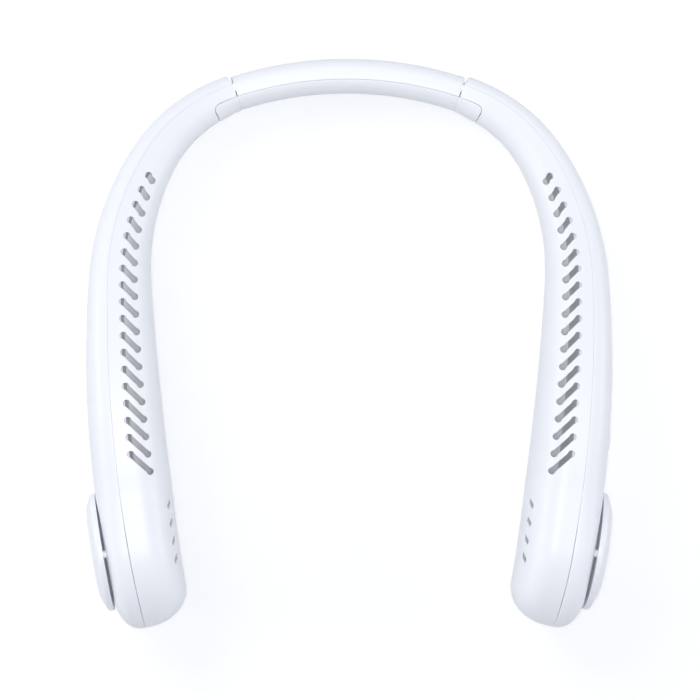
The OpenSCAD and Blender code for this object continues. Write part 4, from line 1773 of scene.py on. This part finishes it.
@dataclass
class FanEnd:
    """The raised round intake cover, the guard and the impeller at each tip."""

    arm: ArmForm
    cover_r: float = 21.2 * MM
    cover_t: float = 4.1 * MM
    rim_t: float = 2 * MM
    face_r: float = 16.4 * MM
    gap: float = 0.8 * MM
    posts: int = 3
    post_r: float = 1.4 * MM
    post_ring_r: float = 17.8 * MM
    post_overlap: float = 0.3 * MM
    guard_base: float = 8.497 * MM
    guard_t: float = 0.9 * MM
    collar_in: float = 1.35 * MM
    collar_out: float = 1.2 * MM
    clearance: float = 0.05 * MM
    ring_share: float = 0.56
    hub_share: float = 0.2
    spokes: int = 8
    spoke_half: float = 0.55 * MM
    impeller_r: float = 14.5 * MM
    impeller_base: float = -6.6847 * MM
    impeller_top: float = 8.097 * MM
    hub_top: float = -2.1214 * MM
    hub_in: float = 6.4 * MM
    hub_roof: float = 1.4 * MM
    hub_wall: float = 1 * MM
    bore_r: float = 1 * MM
    front_w: float = 2 * MM
    front_t: float = 0.8 * MM
    blades: int = 22
    blade_root: float = 0.71
    blade_half: float = 0.35 * MM
    blade_foot: float = 0.5 * MM
    blade_head: float = 0.4 * MM
    blade_sweep: float = math.radians(26)

    def cover(self) -> bpy.types.Mesh:
        """Builds the cover with its posts.

        Returns:
            The new mesh, on the right arm.
        """
        base = self.arm.seat + self.gap
        top = base + self.cover_t
        profile = rounded_profile([
            (0.0, base, 0),
            (self.cover_r, base, 0.2 * MM),
            (self.cover_r, base + self.rim_t, 0.9 * MM),
            (self.face_r, top, 3 * MM),
            (0.0, top, 0),
        ], 8)
        foot, head = base - self.gap - self.arm.wall, base + self.post_overlap
        one = lathe("cover_post", [(0.0, foot), (self.post_r, foot), (self.post_r, head),
                                   (0.0, head)], 32)
        for vert in one.vertices:
            vert.co.y -= self.post_ring_r
        posts = repeated("cover_posts", one, self.posts, COVER_WHITE)
        whole = joined("right_intake_cover", [lathe("cover_disc", profile, 160), posts])
        return settled(whole, self.arm.fan_axis)

    def guard(self) -> bpy.types.Mesh:
        """Builds the guard's collar, ring, hub and spokes.

        Returns:
            The new mesh, on the right arm.
        """
        r, seat, half = self.arm.opening_r, self.arm.seat, self.spoke_half
        inner, outer, snug = r - self.collar_in, r + self.collar_out, r - self.clearance
        low, high = self.guard_base, self.guard_base + self.guard_t
        collar = [(inner, low), (outer, low), (outer, high), (snug, high), (snug, seat),
                  (inner, seat), (inner, low)]
        middle, hub = self.ring_share * r, self.hub_share * r
        dome = rounded_profile([(0, low, 0), (hub, low, 0.15 * MM), (hub, high, 0.3 * MM),
                                (0, high, 0)])
        bow = np.linspace(-QUARTER, QUARTER, 9)
        far = np.stack([inner + half * (0.4 + np.cos(bow)), half * np.sin(bow)], axis=1)
        near = np.stack([hub / 2 - half * np.cos(bow), -half * np.sin(bow)], axis=1)
        spoke = bar("guard_spoke", np.concatenate([far, near]), low, high - self.clearance)
        whole = joined("right_intake_guard", [
            lathe("guard_collar", collar, 128),
            lathe("guard_ring", ring_profile(middle - half, middle + half, low, high), 96),
            lathe("guard_hub", dome, 64),
            repeated("guard_spokes", spoke, self.spokes, DUCT_GREY_PAINTED_GLOW),
        ])
        return settled(whole, self.arm.fan_axis)

    def blade(self) -> bpy.types.Mesh:
        """Builds one curved blade with a rounded leading and trailing edge.

        Returns:
            The new mesh, in the axis's own frame.
        """
        half = self.blade_half
        start, end = self.blade_root * self.impeller_r, self.impeller_r - half
        share = np.linspace(0, 1, 14)
        r = start + (end - start) * share
        angle = self.blade_sweep * share**2
        middle = np.stack([r * np.cos(angle), r * np.sin(angle)], axis=1)
        way = np.gradient(middle, axis=0)
        way /= np.linalg.norm(way, axis=1, keepdims=True)
        side = np.stack([-way[:, 1], way[:, 0]], axis=1) * half
        bow = np.linspace(-QUARTER, QUARTER, 7)[1:-1, None]
        tip = middle[-1] + np.cos(bow) * way[-1] * half + np.sin(bow) * side[-1]
        root = middle[0] - np.cos(bow) * way[0] * half - np.sin(bow) * side[0]
        line = np.concatenate([middle - side, tip, (middle + side)[::-1], root])
        foot, head = self.impeller_base + self.blade_foot, self.impeller_top - self.blade_head
        return bar("blade", line, foot, head)

    def impeller(self) -> bpy.types.Mesh:
        """Builds the centrifugal impeller: plate, hub cap, blades and front ring.

        Returns:
            The new mesh, on the right arm.
        """
        base, top, out = self.impeller_base, self.impeller_top, self.impeller_r
        hub_in, roof = self.hub_in, self.hub_top - self.hub_roof
        hub_out, plate = hub_in + self.hub_wall, base + self.hub_wall
        cap = rounded_profile([
            (self.bore_r, self.hub_top, 0),
            (hub_out, self.hub_top, 0.6 * MM),
            (hub_out, plate, 0.5 * MM),
            (out, plate, 0.2 * MM),
            (out, base, 0.2 * MM),
            (hub_in, base, 0.1 * MM),
            (hub_in, roof, 0.4 * MM),
            (self.bore_r, roof, 0),
        ])
        front = ring_profile(out - self.front_w, out, top - self.front_t, top)
        blades = repeated("impeller_blades", self.blade(), self.blades, IMPELLER_GREY)
        whole = joined("right_impeller", [
            lathe("impeller_body", [*cap, cap[0]], 128),
            lathe("impeller_ring", front, 128),
            blades,
        ])
        return settled(whole, self.arm.fan_axis)

    def dress(self) -> None:
        """Adds both ends' covers, guards and impellers."""
        add_pair("intake_cover", self.cover(), COVER_WHITE, "arm")
        add_pair("intake_guard", self.guard(), DUCT_GREY_PAINTED_GLOW, "arm")
        add_pair("impeller", self.impeller(), IMPELLER_GREY, "fan")


@dataclass
class ButtonSet:
    """The power button and the light pipe of the right arm."""

    arm: ArmForm
    controls: Controls
    board_top: float = 5.7045 * MM
    stem_base: float = 9.8045 * MM
    stem_r: float = 1.6 * MM
    flange_top: float = 11.2345 * MM
    flange_t: float = 0.8 * MM
    flange_w: float = 1 * MM
    top: float = 14.0345 * MM
    dish: float = 0.22 * MM
    dish_share: float = 0.72
    bowl_share: float = 0.5

    def button(self) -> bpy.types.Mesh:
        """Builds the button with its stem, its flange and a slightly dished face.

        Returns:
            The new mesh, in the axis's own frame.
        """
        r, low = self.controls.button_r, self.flange_top - self.flange_t
        wide, bowl = r + self.flange_w, self.top - self.dish
        profile = rounded_profile([
            (0, self.stem_base, 0),
            (self.stem_r, self.stem_base, 0.2 * MM),
            (self.stem_r, low, 0.2 * MM),
            (wide, low, 0.1 * MM),
            (wide, self.flange_top, 0.1 * MM),
            (r, self.flange_top, 0.1 * MM),
            (r, self.top, 0.45 * MM),
            (r * self.dish_share, self.top, 0.6 * MM),
            (r * self.bowl_share, bowl, 1.2 * MM),
            (0, bowl, 0),
        ])
        return lathe("power_button", profile, 96)

    def lights(self) -> bpy.types.Mesh:
        """Builds the clear pipe: a bar on the board and a round lens for each light.

        Returns:
            The new mesh, in the axis's own frame.
        """
        c = self.controls
        r, low = c.light_r, self.board_top
        end = float(self.arm.half_w(np.array(c.place)))
        lens = lathe("lens", rounded_profile([(0, low, 0), (r, low, 0.1 * MM),
                                              (r, end, 0.25 * MM), (0, end, 0)]), 32)
        for vert in lens.vertices:
            vert.co.x -= c.light_start
        lenses = repeated("lenses", lens, c.light_count, LIGHT_CLEAR,
                          step=(-c.light_pitch, 0.0, 0.0))
        far = -c.light_start - c.light_pitch * (c.light_count - 1) - r
        near = -c.light_start + r
        line = np.array([(far, -r), (near, -r), (near, r), (far, r)])
        return joined("light_pipe", [lenses, bar("light_rail", line, low, low + 2 * r)])

    def dress(self) -> None:
        """Adds the button and the light pipe."""
        axis = axis_at(self.arm, self.controls.place)
        add_piece("power_button", settled(self.button(), axis), BUTTON_GREY, "button")
        add_piece("light_pipe", settled(self.lights(), axis), LIGHT_CLEAR, "right_arm")


@dataclass
class Wiring:
    """The wires in the arms and in the band."""

    arm: ArmForm
    band: Band
    radius: float = 0.8 * MM
    clearance: float = 0.2 * MM
    start: float = 14 * MM
    from_fan: float = 23 * MM
    out: float = 1.65 * MM
    pitch: float = 2.2 * MM
    tang_end: float = 13.9 * MM

    def arm_wires(self) -> bpy.types.Mesh:
        """Builds the wire along the floor of the right arm.

        Returns:
            The new mesh.
        """
        arm = self.arm
        s = np.linspace(self.start, arm.fan_place - self.from_fan, 60)
        x, y = arm.spot(s)
        out_x, out_y = bearing(arm.heading(s))
        low = arm.half_h(s) - arm.wall - self.radius - self.clearance
        line = np.stack([x + self.out * out_x, y + self.out * out_y, arm.mid_z(s) - low], axis=1)
        return tubes("arm_wires", [line], self.radius, WIRE_RED)

    def band_wires(self) -> bpy.types.Mesh:
        """Builds the three wires through the band, from arm to arm.

        Returns:
            The new mesh.
        """
        arm = self.arm
        inward = arm.band_w / 2 - self.band.wall - self.radius - self.clearance
        r = arm.band_radius - inward
        past = self.tang_end / (r - self.radius)
        x, y = bearing(np.linspace(past - arm.band_angle, arm.band_angle - past, 50))
        heights = (arm.root_h / 2 + self.pitch * k for k in (-1, 0, 1))
        lines = [
            np.stack([r * x, arm.back_y + r * y, np.full_like(x, height)], axis=1)
            for height in heights
        ]
        return tubes("band_wires", lines, self.radius, WIRE_RED)

    def dress(self) -> None:
        """Adds all the wires."""
        add_pair("arm_wires", self.arm_wires(), WIRE_RED, "arm")
        add_piece("band_wires", self.band_wires(), WIRE_RED, "band")


def dress_nodes() -> None:
    """Gives every node its finish, also where a piece stands for it."""
    for name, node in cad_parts.items():
        stem = name.removeprefix("left_").removeprefix("right_")
        node.data.materials.clear()
        node.data.materials.append(NODE_FINISHES.get(stem, SHELL_WHITE).material())


@dataclass(frozen=True)
class Lamp:
    """A square soft lamp that faces the fan."""

    name: str
    place: tuple[float, float, float]
    size: float
    watts: float

    def hang(self) -> None:
        """Adds the lamp to the scene."""
        light = bpy.data.lights.new(self.name, "AREA")
        light.size = self.size
        light.energy = self.watts
        lamp = bpy.data.objects.new(self.name, light)
        lamp.location = self.place
        lamp.rotation_euler = (-Vector(self.place)).to_track_quat("-Z", "Y").to_euler()
        bpy.context.scene.collection.objects.link(lamp)


@dataclass
class Studio:
    """Pale floor, soft light and the camera over the fan."""

    height: float = 1.25
    lean: float = -0.036
    view_w: float = 252.35 * MM
    level: float = 24 * MM
    aim: tuple[float, float] = (0.36 * MM, -3.45 * MM)
    sensor: float = 36.0
    clip_end: float = 50.0
    floor_half: float = 3.0
    floor_drop: float = 0.2 * MM
    floor_tone: float = 0.86
    floor_roughness: float = 0.8
    floor_specular: float = 0.1
    floor_lift: float = 0.22
    sky: Colour = (0.86, 0.9, 1.0)
    sky_strength: float = 0.52

    def camera(self) -> None:
        """Places the camera almost straight above."""
        lens = bpy.data.cameras.new("camera")
        lens.sensor_width = self.sensor
        lens.lens = self.sensor * self.height / self.view_w
        lens.clip_end = self.clip_end
        camera = bpy.data.objects.new("camera", lens)
        target = Vector((*self.aim, self.level))
        camera.location = target + Vector((self.lean * self.height, 0, self.height))
        back = (camera.location - target).normalized()
        right = Vector((0, 1, 0)).cross(back).normalized()
        axes = Matrix((right, back.cross(right), back)).transposed()
        camera.rotation_euler = axes.to_euler()
        bpy.context.scene.collection.objects.link(camera)
        bpy.context.scene.camera = camera

    def floor(self) -> None:
        """Lays a pale floor that is white to the camera and keeps the fan's shadow."""
        mesh = bpy.data.meshes.new("floor")
        r = self.floor_half
        mesh.from_pydata([(-r, -r, 0), (r, -r, 0), (r, r, 0), (-r, r, 0)], [], [(0, 1, 2, 3)])
        floor = bpy.data.objects.new("floor", mesh)
        floor.location.z = -self.floor_drop
        bpy.context.scene.collection.objects.link(floor)
        made = bpy.data.materials.new("floor_white")
        made.use_nodes = True
        tree = made.node_tree
        shader = set_inputs(tree.nodes["Principled BSDF"], {
            "Base Color": (self.floor_tone, self.floor_tone, self.floor_tone, 1),
            "Roughness": self.floor_roughness,
            "Specular IOR Level": self.floor_specular,
        })
        path = tree.nodes.new("ShaderNodeLightPath")
        share = add_node(tree, "ShaderNodeMath",
                         {0: path.outputs["Is Camera Ray"], 1: self.floor_lift},
                         operation="MULTIPLY")
        lift = add_node(tree, "ShaderNodeEmission",
                        {"Color": (1, 1, 1, 1), "Strength": share.outputs[0]})
        both = add_node(tree, "ShaderNodeAddShader", {0: shader.outputs[0], 1: lift.outputs[0]})
        set_inputs(tree.nodes["Material Output"], {"Surface": both.outputs[0]})
        mesh.materials.append(made)

    def world(self) -> None:
        """Adds a pale surround that is white to the camera and a little blue to the fan."""
        world = bpy.data.worlds.new("surround")
        bpy.context.scene.world = world
        world.use_nodes = True
        tree = world.node_tree
        back = set_inputs(tree.nodes["Background"],
                          {"Color": (*self.sky, 1), "Strength": self.sky_strength})
        white = add_node(tree, "ShaderNodeBackground", {"Color": (1, 1, 1, 1), "Strength": 1.0})
        path = tree.nodes.new("ShaderNodeLightPath")
        mix = add_node(tree, "ShaderNodeMixShader", {
            "Fac": path.outputs["Is Camera Ray"], 1: back.outputs[0], 2: white.outputs[0],
        })
        set_inputs(tree.nodes["World Output"], {"Surface": mix.outputs[0]})

    def lamps(self) -> list[Lamp]:
        """The key lamp, a low one on each side, and a small one over the camera."""
        over = (self.lean * self.height, 0.0, self.height + 0.1)
        sides = [
            Lamp(f"{side.word}_side", place=(side.value * 1.3, 0.1, 0.28), size=0.5, watts=2.8)
            for side in Side
        ]
        return [
            Lamp("key", place=(-0.75, 0.9, 1.2), size=0.8, watts=4.5),
            *sides,
            Lamp("overhead", place=over, size=0.08, watts=6),
        ]

    def dress(self) -> None:
        """Builds the whole setting."""
        self.camera()
        self.floor()
        self.world()
        for lamp in self.lamps():
            lamp.hang()
        bpy.context.scene.view_settings.view_transform = "Standard"


def main() -> None:
    """Builds the setting, dresses the nodes, and then builds the fan's pieces in order."""
    logging.basicConfig(level=logging.INFO, format="%(message)s")
    Studio().dress()
    dress_nodes()
    arm = ArmForm()
    tongue = Tongue(arm)
    band = Band(arm, tongue)
    band.dress()
    ArmShells(arm, tongue).dress()
    FanEnd(arm).dress()
    ButtonSet(arm, Controls()).dress()
    Wiring(arm, band).dress()


if __name__ == "__main__":
    main()
